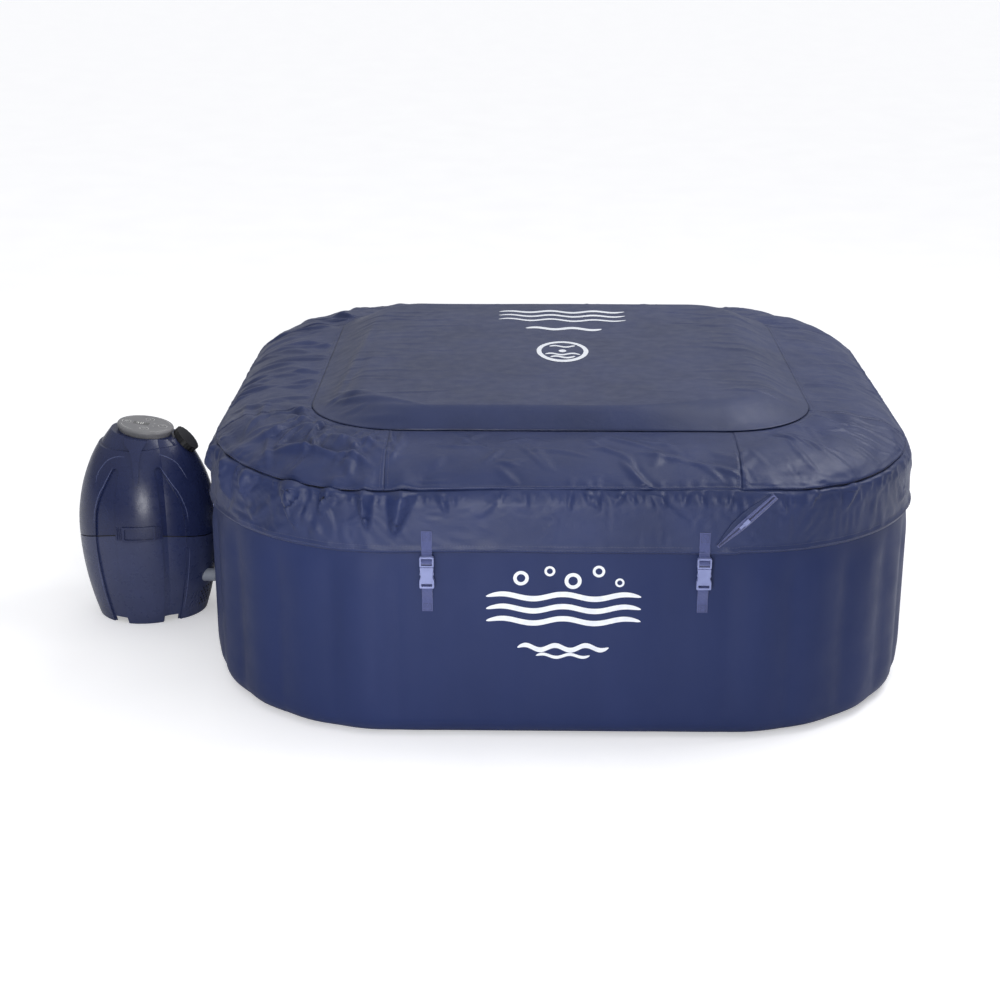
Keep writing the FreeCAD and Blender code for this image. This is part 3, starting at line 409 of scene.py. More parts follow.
MATERIAL_NODES = {
    "wall": ["wall_webs"],
    "fitting": ["water_pipes", "air_pipe", "air_valve_body", "air_valve_cap", "drain_valve_body", "pump_pipes",
                "union_nut_inlet", "union_nut_outlet", "union_nut_air", "air_outlet_neck"],
    "white": ["filter_housing", "filter_cap", "debris_screen", "pump_impeller", "blower_fan"],
    "paper": ["filter_cartridge"],
    "black": ["drain_cap", "pump_base_plate", "pump_volute", "blower_housing", "air_outlet_cap", "cord_gland"],
    "buckle": ["clip_sockets", "zip_slider"] + [f"clip_plug_{k}" for k in range(1, 9)],
    "pump": ["pump_upper_shell", "waist_latches"],
    # the lower shell takes the lighter navy, with the floor's reflection painted in
    "pump_low": ["pump_lower_shell"],
    "seal": ["waist_gasket"],
    "steel": ["case_screws", "heater_tube"],
    "motor": ["pump_motor"],
    "panel": ["control_bezel"] + [f"button_{k}" for k in range(1, 5)],
    "display": ["display_window"],
    "board": ["circuit_board"],
}


def paint_nodes():
    for material, nodes in MATERIAL_NODES.items():
        for node in nodes:
            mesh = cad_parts[node].data
            mesh.materials.clear()
            mesh.materials.append(MATERIALS[material])


# ---------------------------------------------------------------- stage
def make_world():
    """White all round for the eye; for the lighting, bright above and behind and dimmer in front."""
    world = bpy.data.worlds.new("studio")
    world.use_nodes = True
    tree = world.node_tree

    def node(kind, **settings):
        made = tree.nodes.new(kind)
        for key, value in settings.items():
            setattr(made, key, value)
        return made

    seen = tree.nodes["Background"]
    seen.inputs["Color"].default_value = (1, 1, 1, 1)
    seen.inputs["Strength"].default_value = 1.0
    light = node("ShaderNodeBackground")
    light.inputs["Color"].default_value = (0.97, 0.98, 1.0, 1)
    where = node("ShaderNodeTexCoord")
    towards = node("ShaderNodeVectorMath", operation="DOT_PRODUCT")
    tree.links.new(where.outputs["Generated"], towards.inputs[0])
    towards.inputs[1].default_value = (0.08, 0.13, 0.985)
    scaled = node("ShaderNodeMath", operation="MULTIPLY_ADD")
    tree.links.new(towards.outputs["Value"], scaled.inputs[0])
    scaled.inputs[1].default_value = 0.73
    scaled.inputs[2].default_value = 0.22
    tree.links.new(scaled.outputs["Value"], light.inputs["Strength"])
    mixed = node("ShaderNodeMixShader")
    path = node("ShaderNodeLightPath")
    tree.links.new(path.outputs["Is Camera Ray"], mixed.inputs[0])
    tree.links.new(light.outputs[0], mixed.inputs[1])
    tree.links.new(seen.outputs[0], mixed.inputs[2])
    tree.links.new(mixed.outputs[0], tree.nodes["World Output"].inputs["Surface"])
    bpy.context.scene.world = world


def make_stage():
    floor_material = Shader("floor")
    floor_material.colour(two_tone(floor_material, (243, 243, 245), (248, 248, 249), 3))
    floor_material.set(rough=0.6, specular=0.2)
    floor_material.base.inputs["Emission Color"].default_value = (1.0, 0.995, 1.0, 1)
    ray = floor_material.node("ShaderNodeLightPath")
    glow = floor_material.math("MULTIPLY", ray.outputs["Is Camera Ray"], 0.35)
    floor_material.link(glow, floor_material.base.inputs["Emission Strength"])
    floor = make_object("floor", [(-30, -30, 0), (30, -30, 0), (30, 60, 0), (-30, 60, 0)], [(0, 1, 2, 3)],
                        floor_material.material, smooth=False)
    bpy.context.scene.view_settings.view_transform = "Standard"
    make_world()

    def softbox(name, place, towards, size, power):
        data = bpy.data.lights.new(name, "AREA")
        data.shape = "RECTANGLE"
        data.size, data.size_y = size
        data.energy = power
        lamp = bpy.data.objects.new(name, data)
        lamp.location = place
        lamp.rotation_euler = (Vector(towards) - Vector(place)).to_track_quat("-Z", "Y").to_euler()
        bpy.context.scene.collection.objects.link(lamp)

    softbox("key_light", (2.1, 0.2, 3.5), (0.0, -0.3, 0.6), (1.8, 1.8), 58)
    softbox("pump_light", (-0.52, -3.1, 0.86), (-1.15, -0.1, 0.36), (0.8, 0.8), 30)


def make_camera():
    data = bpy.data.cameras.new("camera")
    data.lens = 64.6
    camera = bpy.data.objects.new("camera", data)
    camera.location = (-0.0834, -4.8665, 2.0097)
    camera.rotation_euler = (math.radians(70.68), 0, math.radians(0.914))
    bpy.context.scene.collection.objects.link(camera)
    bpy.context.scene.camera = camera


# ---------------------------------------------------------------- inflated wall
def web_distance(s):
    """Signed distance to the nearest web, and how far into a corner, from 0 to 1."""
    u = np.mod(np.asarray(s, float) + CORE, QUARTER)
    spots = np.array(WEB_SPOTS + [QUARTER])
    gap = u[..., None] - spots
    nearest = np.argmin(np.abs(gap), axis=-1)
    distance = np.take_along_axis(gap, nearest[..., None], axis=-1)[..., 0]
    corner = smooth_step(u, SIDE - 0.12, SIDE + 0.05) * (1 - smooth_step(u, QUARTER - 0.05, QUARTER))
    corner = np.maximum(corner, 1 - smooth_step(u, 0.0, 0.12))
    return distance, corner


WALL_WAVES = Noise(11, 20, 0.6, 2.2)
WALL_FINE = Noise(12, 24, 3.0, 7.0)


def swell_between_webs(distance):
    """0 at a web and 1 midway between two webs, with a soft crease at the web."""
    soft = np.sqrt(distance ** 2 + 0.007 ** 2) - 0.007
    return 1 - (1 - np.clip(2 * soft / WEB_STEP, 0, 1)) ** 2


def wall_relief(s, t, rise):
    """How far the inflated wall stands out of its plain section, in metres. rise is 0 at the foot, 1 at the rim."""
    distance, corner = web_distance(s)
    body = smooth_step(rise, 0.02, 0.20) * (1 - 0.85 * smooth_step(rise, 0.66, 0.80))
    swell = swell_between_webs(distance) * (0.0026 + 0.0084 * corner) - 0.0014 - 0.0010 * corner
    pucker = bump_at(distance, 0, 0.03) * np.sin(t * 2 * math.pi / 0.055 + s * 9) * 0.0005
    pucker = pucker * (bump_at(rise, 0.08, 0.06) + 0.7 * bump_at(rise, 0.93, 0.06))
    waves = WALL_WAVES(s, t * 0.25) * 0.0010 + WALL_FINE(s, t * 0.12) * 0.00025
    return np.maximum((waves + swell) * body + pucker, -0.0028)


def outer_profile():
    """The tub's section from under its foot, up the outside and over the rim."""
    rim = CORNER - RIM_ROUND
    inner_rim = INNER + RIM_ROUND
    foot = CORNER - FOOT_ROUND
    foot_size, rim_size = (FOOT_ROUND, FOOT_ROUND), (RIM_ROUND, RIM_ROUND)
    return joined(
        oval((foot, FOOT_ROUND), foot_size, -90, 0, 9),
        line((CORNER, FOOT_ROUND), (CORNER, RIM_TOP - RIM_ROUND), 41),
        oval((rim, RIM_TOP - RIM_ROUND), rim_size, 0, 90, 15),
        line((rim, RIM_TOP), (inner_rim, RIM_TOP), 5),
        oval((inner_rim, RIM_TOP - RIM_ROUND), rim_size, 90, 180, 15),
    )


def swollen_ring(name, profile, out, columns, relief, material):
    """Closed ring of skin: a profile swept round the tub, moved along its own outward direction by relief."""
    s = np.arange(columns) * AROUND / columns
    push = relief(s[None, :], run_along(profile)[:, None])
    rho = profile[:, :1] + out[:, :1] * push
    z = profile[:, 1:] + out[:, 1:] * push
    points = ring_points(s, rho, z)
    faces = grid_faces(len(profile), columns, wrap_columns=True)
    return make_object(name, points.reshape(-1, 3), faces, material)


def make_tub_skin():
    profile, out = outer_profile()
    length = np.linalg.norm(np.diff(profile, axis=0), axis=1).sum()

    def outside(s, t):
        rise = np.interp(t, [0, 0.08, 0.58, 0.75, length], [0.05, 0.12, 0.9, 1.0, 1.0])
        rise = np.where(t > 0.75, 0.93, rise)
        floor_line = smooth_step(t, 0.0, 0.05)
        return wall_relief(s, t, rise) * floor_line - 0.0005

    outer = swollen_ring("tub_outside_skin", profile, out, 560, outside, MATERIALS["wall"])
    solidify(outer, 0.0015)
    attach(outer, "tub")
    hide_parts("outer_wall", "top_ring")
    profile, out = joined(line((INNER, RIM_TOP - RIM_ROUND), (INNER, 0.002), 46))
    out = -np.abs(out) * np.array([1, 0])

    def inside(s, t):
        distance = web_distance(s)[0]
        seam = smooth_step(t, 0.0, 0.06) * (1 - smooth_step(t, 0.46, 0.54))
        return (swell_between_webs(distance) * 0.006 + WALL_WAVES(s + 3, t) * 0.0006) * seam - 0.0004

    inner = swollen_ring("tub_inside_skin", profile, out, 420, inside, MATERIALS["liner"])
    solidify(inner, 0.0015)
    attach(inner, "tub")
    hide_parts("inner_wall")


# ---------------------------------------------------------------- fabric cover
FRONT_CUT = 0.42  # the seams across the border: |x| on the front and back
SIDE_CUT = 0.455  # and |y| on the sides
CLOTH_COLUMNS = 608
SHOULDER = (0.29, 0.60)  # centre of the shoulder's curve, from the core square, and height
SHOULDER_SIZE = (0.215, 0.106)  # its half axes
FOLD_RANDOM = np.random.default_rng(41)


def seam_spots(rho):
    """Distances round the tub at which the eight border seams cross a ring that far from the core square."""
    first = CORE + CORNER * math.asin((FRONT_CUT - CORE) / rho)
    second = CORE + CORNER * math.acos((SIDE_CUT - CORE) / rho)
    half = [first, second, 2 * QUARTER - second, 2 * QUARTER - first]
    return half + [AROUND - spot for spot in reversed(half)]


def cover_columns():
    """Distances round the tub of each column, at the outside and at the panel, and the seams' columns."""
    outer = np.array(seam_spots(0.5))
    steps = np.round(np.diff(np.append(outer, outer[0] + AROUND)) / AROUND * CLOTH_COLUMNS).astype(int)
    starts = np.concatenate([[0], np.cumsum(steps)])
    ends = np.append(outer, outer[0] + AROUND)
    inner = np.array(seam_spots(PANEL_SEAM))
    inner = np.append(inner, inner[0] + AROUND)
    columns = np.arange(starts[-1])
    return np.interp(columns, starts, ends), np.interp(columns, starts, inner), starts


def border_profile():
    """The cover's section from the panel's seam over the shoulder to the hem, and the row of the skirt's seam."""
    lift = math.degrees(math.asin((SEAM_Z - SHOULDER[1]) / SHOULDER_SIZE[1]))
    top = (SHOULDER[0], SHOULDER[1] + SHOULDER_SIZE[1])
    upper = joined(line((PANEL_SEAM, PANEL_SEAM_Z), top, 6), oval(SHOULDER, SHOULDER_SIZE, 90, lift, 27))[0]
    lower = joined(oval(SHOULDER, SHOULDER_SIZE, lift, 0, 6),
                   line((SHOULDER[0] + SHOULDER_SIZE[0], SHOULDER[1]), (COVER - 0.002, HEM_Z), 13))[0]
    return np.concatenate([upper, lower[1:]]), len(upper) - 1


def from_front(s):
    """Signed distance round the tub from the front's middle."""
    return np.mod(np.asarray(s, float) + AROUND / 2, AROUND) - AROUND / 2


def slackness(s):
    """How loose the fabric is round the tub: most at the front left corner, least along the sides."""
    corner = np.mod(np.asarray(s, float) + CORE, QUARTER)
    in_corner = smooth_step(corner, SIDE - 0.06, SIDE + 0.16) * (1 - smooth_step(corner, QUARTER - 0.16, QUARTER))
    front_left = bump_at(from_front(s), -0.74, 0.32)
    front_right = bump_at(from_front(s), 0.62, 0.30)
    return np.clip(0.14 + 0.40 * in_corner + 0.60 * front_left + 0.16 * front_right, 0, 1)


SEAM_WAVES = Noise(21, 16, 0.8, 3.5)
SLACK_WAVES = Noise(22, 18, 1.2, 5.0)
PULL_WAVES = Noise(23, 30, 5.0, 13.0)


def drape(cloth, body, frames):
    """Runs the cloth on the body and returns where its points end up."""
    cloth.modifiers.new("cloth", "CLOTH")
    settings = cloth.modifiers["cloth"].settings
    settings.quality = 5
    settings.mass = 0.25
    settings.air_damping = 4
    settings.tension_stiffness = 40
    settings.compression_stiffness = 18
    settings.shear_stiffness = 10
    settings.bending_stiffness = 1.2
    settings.vertex_group_mass = "pins"
    settings.vertex_group_shrink = "slack"
    settings.shrink_min = 0.0
    settings.shrink_max = -0.15
    contact = cloth.modifiers["cloth"].collision_settings
    contact.use_self_collision = False
    contact.distance_min = 0.002
    contact.collision_quality = 2
    body.modifiers.new("collision", "COLLISION")
    body.collision.thickness_outer = 0.002
    body.collision.cloth_friction = 6
    scene = bpy.context.scene
    scene.frame_start, scene.frame_end = 1, frames
    cloth.modifiers["cloth"].point_cache.frame_end = frames
    for step in range(1, frames + 1):
        scene.frame_set(step)
    settled = cloth.evaluated_get(bpy.context.evaluated_depsgraph_get()).to_mesh()
    places = np.empty(len(settled.vertices) * 3)
    settled.vertices.foreach_get("co", places)
    for old in (cloth, body):
        bpy.data.objects.remove(old)
    scene.frame_set(1)
    return places.reshape(-1, 3)


def settled_border(s, profile, seam_row):
    """The border and skirt as one draped cloth: an array of rows, columns and coordinates."""
    rows, columns = s.shape
    loose = slackness(s)
    x, y, nx, ny = square_at(s)
    rho = np.broadcast_to(profile[:, :1], s.shape).copy()
    z = np.broadcast_to(profile[:, 1:], s.shape).copy()
    near_seam = np.exp(-((np.arange(rows) - seam_row) / 3.0) ** 2)[:, None]
    z += near_seam * SEAM_WAVES(s, 0.0) * (0.0012 + 0.005 * loose) - near_seam * 0.002 * loose
    rho -= near_seam * (0.0005 + 0.0008 * loose ** 2)
    hem = np.exp(-((np.arange(rows) - rows + 1) / 4.0) ** 2)[:, None]
    z += hem * SEAM_WAVES(s, 3.0) * 0.0022
    rho += hem * (SEAM_WAVES(s, 7.0) * 0.0012 - 0.0015)
    free = np.ones(rows)
    free[[0, seam_row, rows - 1]] = 0
    rho += free[:, None] * (0.003 + 0.0015 * SLACK_WAVES(s * 3, profile[:, 1:] * 8)) * (0.4 + loose)
    start = np.stack([x + nx * rho, y + ny * rho, z], axis=-1)
    cloth = make_object("cover_before_draping", start.reshape(-1, 3), grid_faces(rows, columns, wrap_columns=True))
    pins = cloth.vertex_groups.new(name="pins")
    slack = cloth.vertex_groups.new(name="slack")
    for row in (0, seam_row, rows - 1):
        pins.add([row * columns + k for k in range(columns)], 1.0, "REPLACE")
    patchy = np.clip(loose * (0.75 + 0.25 * SLACK_WAVES(s, 0.3)), 0, 1).reshape(-1)
    for index, weight in enumerate(patchy):
        slack.add([index], float(weight), "REPLACE")
    under = profile.copy()
    under[:, 0] -= 0.0035 * np.clip((profile[:, 0] - 0.36) / 0.1, 0, 1)
    under[:, 1] -= 0.0045
    support = ring_points(np.arange(240) * AROUND / 240, under[:, :1], under[:, 1:])
    body = make_object("cover_support", support.reshape(-1, 3), grid_faces(rows, 240, wrap_columns=True, flip=True))
    settled = drape(cloth, body, 32).reshape(rows, columns, 3)
    moved = settled - start
    distance = np.linalg.norm(moved, axis=-1, keepdims=True)
    return start + moved * np.minimum(1, 0.035 / np.maximum(distance, 1e-9))


def refined(grid, wrap):
    """A grid with a new point midway between each two along axis 0, on a smooth curve."""
    if wrap:
        before, after, last = np.roll(grid, 1, 0), np.roll(grid, -1, 0), np.roll(grid, -2, 0)
    else:
        before = np.concatenate([2 * grid[:1] - grid[1:2], grid[:-1]])
        after = np.concatenate([grid[1:], 2 * grid[-1:] - grid[-2:-1]])
        last = np.concatenate([grid[2:], 2 * grid[-1:] - grid[-2:-1], 3 * grid[-1:] - 2 * grid[-2:-1]])
    middle = (9 * (grid + after) - before - last) / 16
    both = np.stack([grid, middle], axis=1).reshape(-1, *grid.shape[1:])
    return both if wrap else both[:-1]


def refined_both(grid):
    grid = refined(grid, wrap=False)
    return refined(grid.transpose(1, 0, 2), wrap=True).transpose(1, 0, 2)


def grid_normals(grid):
    """Outward direction at each point of a grid whose columns close on themselves."""
    down = np.gradient(grid, axis=0)
    across = (np.roll(grid, -1, 1) - np.roll(grid, 1, 1)) / 2
    normal = np.cross(down, across)
    return normal / np.maximum(np.linalg.norm(normal, axis=-1, keepdims=True), 1e-12)


def ridges(u, v, folds):
    """Sum of folds: each a ridge along a line (u0, v0, u1, v1), with a width, a height and a bow sideways."""
    push = np.zeros(np.broadcast(u, v).shape)
    for u0, v0, u1, v1, width, height, bow in folds:
        du, dv = u1 - u0, v1 - v0
        long = math.hypot(du, dv)
        t = ((u - u0) * du + (v - v0) * dv) / long ** 2
        side = ((u - u0) * dv - (v - v0) * du) / long
        near = (t > 0) & (t < 1) & (np.abs(side) < 4 * width + abs(bow))
        t, side = t[near], side[near]
        side = side - bow * np.sin(math.pi * t)
        lift = np.sin(math.pi * t ** 0.8)
        thin = width * (0.55 + 0.45 * lift)
        push[near] += height * lift * (np.exp(-(side / thin) ** 2) - 0.35 * np.exp(-((side - 1.8 * thin) / thin) ** 2))
    return push


def strewn_folds(count, start, end, low, high, length, width, height, lean=0.3, steep=1.0):
    """Folds across the border between two distances round the tub. steep 1 runs them across, 0 along."""
    r = FOLD_RANDOM
    folds = []
    for _ in range(count):
        u, v = r.uniform(start, end), r.uniform(low, high)
        long = r.uniform(*length)
        angle = math.pi / 2 * steep + r.normal(0, lean)
        du, dv = long / 2 * math.cos(angle), long / 2 * math.sin(angle)
        folds.append((u - du, v - dv, u + du, v + dv, r.uniform(*width), r.uniform(*height), r.normal(0, long * 0.06)))
    return folds


def pleat(at, below, spot, tall, wide, long, lean):
    """One fold under the skirt's seam: wide at the seam, a crisp ridge, pointed at its lower end."""
    gap = np.mod(at - spot - lean * np.maximum(below, 0) + AROUND / 2, AROUND) - AROUND / 2
    down = np.clip(below / long, 0, 1)
    up = np.clip(-below / (long * 0.9), 0, 1)
    half = np.where(below > 0, wide * (1 - 0.85 * down), wide * (1 + 0.5 * up))
    ridge = np.maximum(1 - np.sqrt((gap / half) ** 2 + 0.004), 0)
    drop = smooth_step(below, -0.002, 0.018) * (1 - smooth_step(down, 0.62, 1.0))
    above = 0.35 * smooth_step(-below, 0.0, 0.014) * (1 - smooth_step(up, 0.2, 1.0))
    return tall * (drop + above) * ridge


# Folds under the skirt's seam: distance from the front's middle, height, width, length, lean
BIG_PLEATS = ((-1.03, 0.018, 0.040, 0.090, -0.3), (-0.91, 0.024, 0.046, 0.115, 0.2), (-0.79, 0.020, 0.036, 0.095, -0.3),
              (-0.655, 0.034, 0.048, 0.128, 0.12), (-0.545, 0.022, 0.030, 0.085, -0.4), (-0.468, 0.028, 0.026, 0.108, 0.1),
              (-0.375, 0.032, 0.042, 0.122, -0.2), (-0.290, 0.010, 0.024, 0.060, 0.3), (0.06, 0.009, 0.030, 0.050, 0.5),
              (0.14, 0.008, 0.024, 0.045, -0.5), (0.22, 0.008, 0.026, 0.050, 0.4), (0.50, 0.014, 0.026, 0.065, 0.4),
              (0.60, 0.010, 0.022, 0.055, -0.3), (0.72, 0.012, 0.034, 0.075, -0.5))
# Runs of small folds there: start, end, pitch, height, length
SMALL_PLEATS = ((-1.12, -0.30, 0.030, 0.0050, 0.045), (0.02, 0.42, 0.026, 0.0110, 0.050),
                (0.42, 1.05, 0.050, 0.0080, 0.050), (-0.26, 0.00, 0.034, 0.0050, 0.040),
                (1.6, 4.6, 0.055, 0.0060, 0.055))


def gathers(s, below):
    """Folds that the seam's gathering makes, each a distance outwards. below is the distance below the seam."""
    push = np.zeros(s.shape)
    at = from_front(s)
    for spot, tall, wide, long, lean in BIG_PLEATS:
        push += pleat(at, below, spot, tall, wide, long, lean)
    r = FOLD_RANDOM
    for start, end, pitch, height, length in SMALL_PLEATS:
        spot = start
        while spot < end:
            tall, wide = height * r.uniform(0.35, 1.0), pitch * r.uniform(0.4, 0.6)
            long, lean = length * r.uniform(0.6, 1.2), r.uniform(-0.4, 0.4)
            push += pleat(at, below, spot, tall, wide, long, lean)
            spot += pitch * r.uniform(0.7, 1.5)
    return push


def border_folds(s, run, width):
    """Folds in the border and the skirt: run is the distance down from the panel's seam, width the border's."""
    at = from_front(s)
    top, low = 0.04, width - 0.03
    skirt = (width + 0.035, width + 0.115)
    groups = (  # what strewn_folds takes
        (44, -2.30, -1.20, top, low, (0.09, 0.22), (0.007, 0.015), (0.0024, 0.0066), 0.25),
        (26, -1.25, -0.40, top, low, (0.09, 0.20), (0.008, 0.017), (0.0022, 0.0062), 0.45),
        (16, -1.15, -0.45, 0.03, 0.20, (0.18, 0.40), (0.009, 0.018), (0.0034, 0.0090), 0.20, 0.0),
        (18, -0.40, 0.45, top, low, (0.06, 0.18), (0.006, 0.014), (0.0014, 0.0044), 0.7),
        (26, 0.40, 1.25, top, low, (0.08, 0.20), (0.006, 0.012), (0.0014, 0.0042), 0.5),
        (30, 1.20, 2.30, top, low, (0.08, 0.22), (0.006, 0.012), (0.0008, 0.0024), 0.25),
        (36, -3.15, -2.30, top, low, (0.08, 0.20), (0.006, 0.012), (0.0008, 0.0026), 0.5),
        (36, 2.30, 3.15, top, low, (0.08, 0.20), (0.006, 0.012), (0.0008, 0.0026), 0.5),
        (9, -0.02, 0.42, 0.08, low, (0.10, 0.20), (0.007, 0.012), (0.0030, 0.0060), 0.25, 0.42),
        (8, -0.95, -0.45, 0.10, low, (0.10, 0.20), (0.008, 0.014), (0.0040, 0.0085), 0.30, 0.55),
        (40, -3.1, 3.1, *skirt, (0.05, 0.12), (0.006, 0.012), (0.0009, 0.0030), 0.6),
        (12, -1.15, -0.45, *skirt, (0.06, 0.12), (0.007, 0.014), (0.0022, 0.0060), 0.6),
    )
    folds = [fold for group in groups for fold in strewn_folds(*group)]
    fade = smooth_step(run, 0.004, 0.03) * (1 - bump_at(run - width, 0, 0.006))
    return ridges(at, run, folds) * fade


def zip_points(count):
    """x and z along the zip, and the distance round the tub there."""
    x, z = np.linspace(ZIP_START, ZIP_END, count).T
    turn = np.arcsin(np.clip((x - CORE) / COVER, 0, 1))
    return x, z, np.where(x < CORE, x, CORE + CORNER * turn)


COVER_PIECES = []


def cloth_piece(name, grid, material, nodes, wrap=False):
    rows, columns = grid.shape[:2]
    piece = make_object(name, grid.reshape(-1, 3), grid_faces(rows, columns, wrap_columns=wrap, flip=True),
                        MATERIALS[material])
    solidify(piece, 0.0012)
    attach(piece, "cover")
    if nodes:
        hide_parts(*nodes)
    COVER_PIECES.append(piece)


def relief_of_border(grid, s, seam_row, starts):
    """Seams, gathers and pull lines, as a distance outwards for each point."""
    rows, columns = grid.shape[:2]
    row = np.arange(rows)[:, None]
    column = np.arange(columns)[None, :]
    run = np.concatenate([np.zeros((1, columns)), np.cumsum(np.linalg.norm(np.diff(grid, axis=0), axis=2), axis=0)])
    below = run - run[seam_row]
    front = 0.10 + 0.80 * smooth_step(-grid[..., 1], 0.45, 0.62) * smooth_step(grid[..., 0], -0.60, -0.36)
    seam_depth = (0.10 + 0.20 * SEAM_WAVES(s * 3, 5.0)) * (1 - 0.9 * smooth_step(slackness(s), 0.25, 0.5))
    groove = np.exp(-((row - seam_row) / 1.0) ** 2) * seam_depth + np.exp(-(row / 1.0) ** 2) * front
    for k, spot in enumerate(starts[:8]):
        depth = 0.12 if k == 7 else 1.5 if k in (1, 6) else 0.55
        groove += np.exp(-((column - spot) / 1.0) ** 2) * (row < seam_row) * depth
    push = -0.0024 * np.clip(groove, 0, 1.5)
    push += gathers(s, below)
    push += border_folds(s, run, float(np.median(run[seam_row])))
    loose = slackness(s)
    border = smooth_step(-below, 0.02, 0.05) * smooth_step(run, 0.0, 0.02)
    push += border * PULL_WAVES(s, run * 0.3) * (0.0003 + 0.0008 * loose)
    push += border * SLACK_WAVES(s * 1.4 + run * 1.5, run * 2.0) * 0.0026 * (0.3 + loose)
    hem_start = run[-1:] - 0.014
    push += 0.0009 * smooth_step(run, hem_start - 0.001, hem_start + 0.001)
    push -= 0.0009 * np.exp(-((run - hem_start) / 0.0025) ** 2)
    x, z, along = zip_points(40)
    near_zip = np.zeros((rows, columns))
    for zip_z, spot in zip(z, along):
        away = np.hypot(from_front(s) - spot, grid[..., 2] - zip_z)
        near_zip = np.maximum(near_zip, 1 - smooth_step(away, 0.012, 0.035))
    return push, near_zip


def make_cover_border():
    outer_s, inner_s, starts = cover_columns()
    profile, seam_row = border_profile()
    share = np.clip((profile[:, 0] - PANEL_SEAM) / (0.49 - PANEL_SEAM), 0, 1)[:, None]
    s = inner_s[None, :] * (1 - share) + outer_s[None, :] * share
    grid = refined_both(settled_border(s, profile, seam_row))
    wide = np.concatenate([s, s[:, :1] + AROUND], axis=1)
    s = refined(wide, wrap=False)
    s = refined(s.T, wrap=False).T[:, :-1]
    seam_row *= 2
    starts = starts * 2
    push, near_zip = relief_of_border(grid, s, seam_row, starts)
    grid = grid + grid_normals(grid) * push[..., None]
    x, y, nx, ny = square_at(s)
    held = np.stack([x + nx * (COVER - 0.0008), y + ny * (COVER - 0.0008), grid[..., 2]], axis=-1)
    skirt_only = (np.arange(grid.shape[0]) > seam_row)[:, None]
    weight = (near_zip * skirt_only)[..., None]
    grid = grid * (1 - weight) + held * weight
    names = ["right_front_corner", "right_strip", "right_back_corner", "back_strip", "left_back_corner",
             "left_strip", "left_front_corner", "front_strip"]
    full = np.concatenate([grid, grid[:, :1]], axis=1)
    for k, name in enumerate(names):
        part = full[:seam_row + 1, starts[k]:starts[k + 1] + 1]
        corner = name.endswith("corner")
        node = "cover_corners" if corner else "cover_side_strips"
        cloth_piece(f"cover_{name}", part, "cover", [node] if k < 2 else [])
    cloth_piece("cover_skirt_cloth", grid[seam_row:], "cover", ["cover_skirt"], wrap=True)
    return grid, seam_row, starts


STITCH_GAP = 0.03  # from a buckle's middle


def stitches(name, path, normals, body="cover", pitch=0.0075, long=0.0050, wide=0.0011, high=0.0007, closed=False,
             gaps=()):
    """A line of thread stitches along a path of points, with none near the gaps."""
    path, normals = np.asarray(path, float), np.asarray(normals, float)
    if closed:
        path, normals = np.concatenate([path, path[:1]]), np.concatenate([normals, normals[:1]])
    run = run_along(path)
    middles = np.arange(pitch / 2, run[-1], pitch)
    for gap in gaps:
        middles = middles[np.linalg.norm(sampled(middles, run, path)[:, :2] - gap, axis=1) > STITCH_GAP]
    back, centre, ahead = [sampled(middles + shift, run, path) for shift in (-long / 2, 0, long / 2)]
    out = sampled(middles, run, normals)
    out /= np.linalg.norm(out, axis=1, keepdims=True)
    side = np.cross(ahead - back, out)
    side /= np.maximum(np.linalg.norm(side, axis=1, keepdims=True), 1e-12)
    sections = [(back, 0.35, -0.4), (back * 0.8 + centre * 0.2, 1.0, 0.6), (centre, 1.0, 1.0),
                (ahead * 0.8 + centre * 0.2, 1.0, 0.6), (ahead, 0.35, -0.4)]
    rings = []
    for spot, width, lift in sections:
        base = spot + out * high * (lift - 0.3)
        rings += [base + side * wide / 2 * width, base + out * high * 0.5, base - side * wide / 2 * width]
    points = np.stack(rings, axis=1)
    faces = []
    for k in range(len(middles)):
        first = k * 15
        for row in range(4):
            for column in range(2):
                a = first + row * 3 + column
                faces.append((a, a + 1, a + 4, a + 3))
    thread = make_object(name, points.reshape(-1, 3), faces, MATERIALS["thread"])
    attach(thread, body)


def make_cover_stitching(grid, seam_row, starts):
    normals = grid_normals(grid)
    buckles = [turned((x, -(CORE + COVER), 0), quarter)[:2] for quarter in range(4) for x in CLIP_SPOTS]

    def row_line(name, row, gaps=()):
        stitches(name, grid[row] + normals[row] * 0.0002, normals[row], closed=True, gaps=gaps)

    rows = grid.shape[0]
    row_line("hem_stitching_upper", rows - 5, gaps=buckles)
    row_line("hem_stitching_lower", rows - 3, gaps=buckles)
    row_line("border_seam_stitching", seam_row - 2)
    row_line("panel_seam_stitching", 2)
    for k, spot in enumerate(starts[:8]):
        for side in (-2, 2):
            column = (spot + side) % grid.shape[1]
            part = slice(3, seam_row - 3)
            stitches(f"border_join_stitching_{k + 1}_{'a' if side < 0 else 'b'}",
                     grid[part, column] + normals[part, column] * 0.0002, normals[part, column])


# ---------------------------------------------------------------- top panel and lid
PLATEAU_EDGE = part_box("lid_insert")[1][0] - CORE - 0.009
PANEL_WAVES = Noise(31, 20, 0.9, 3.2)
PANEL_FINE = Noise(32, 26, 4.0, 10.0)
PANEL_GRID = 281


def from_core(x, y):
    """Signed distance from the core square's side."""
    qx, qy = np.abs(x) - CORE, np.abs(y) - CORE
    outside = np.hypot(np.maximum(qx, 0), np.maximum(qy, 0))
    return outside + np.minimum(np.maximum(qx, qy), 0)


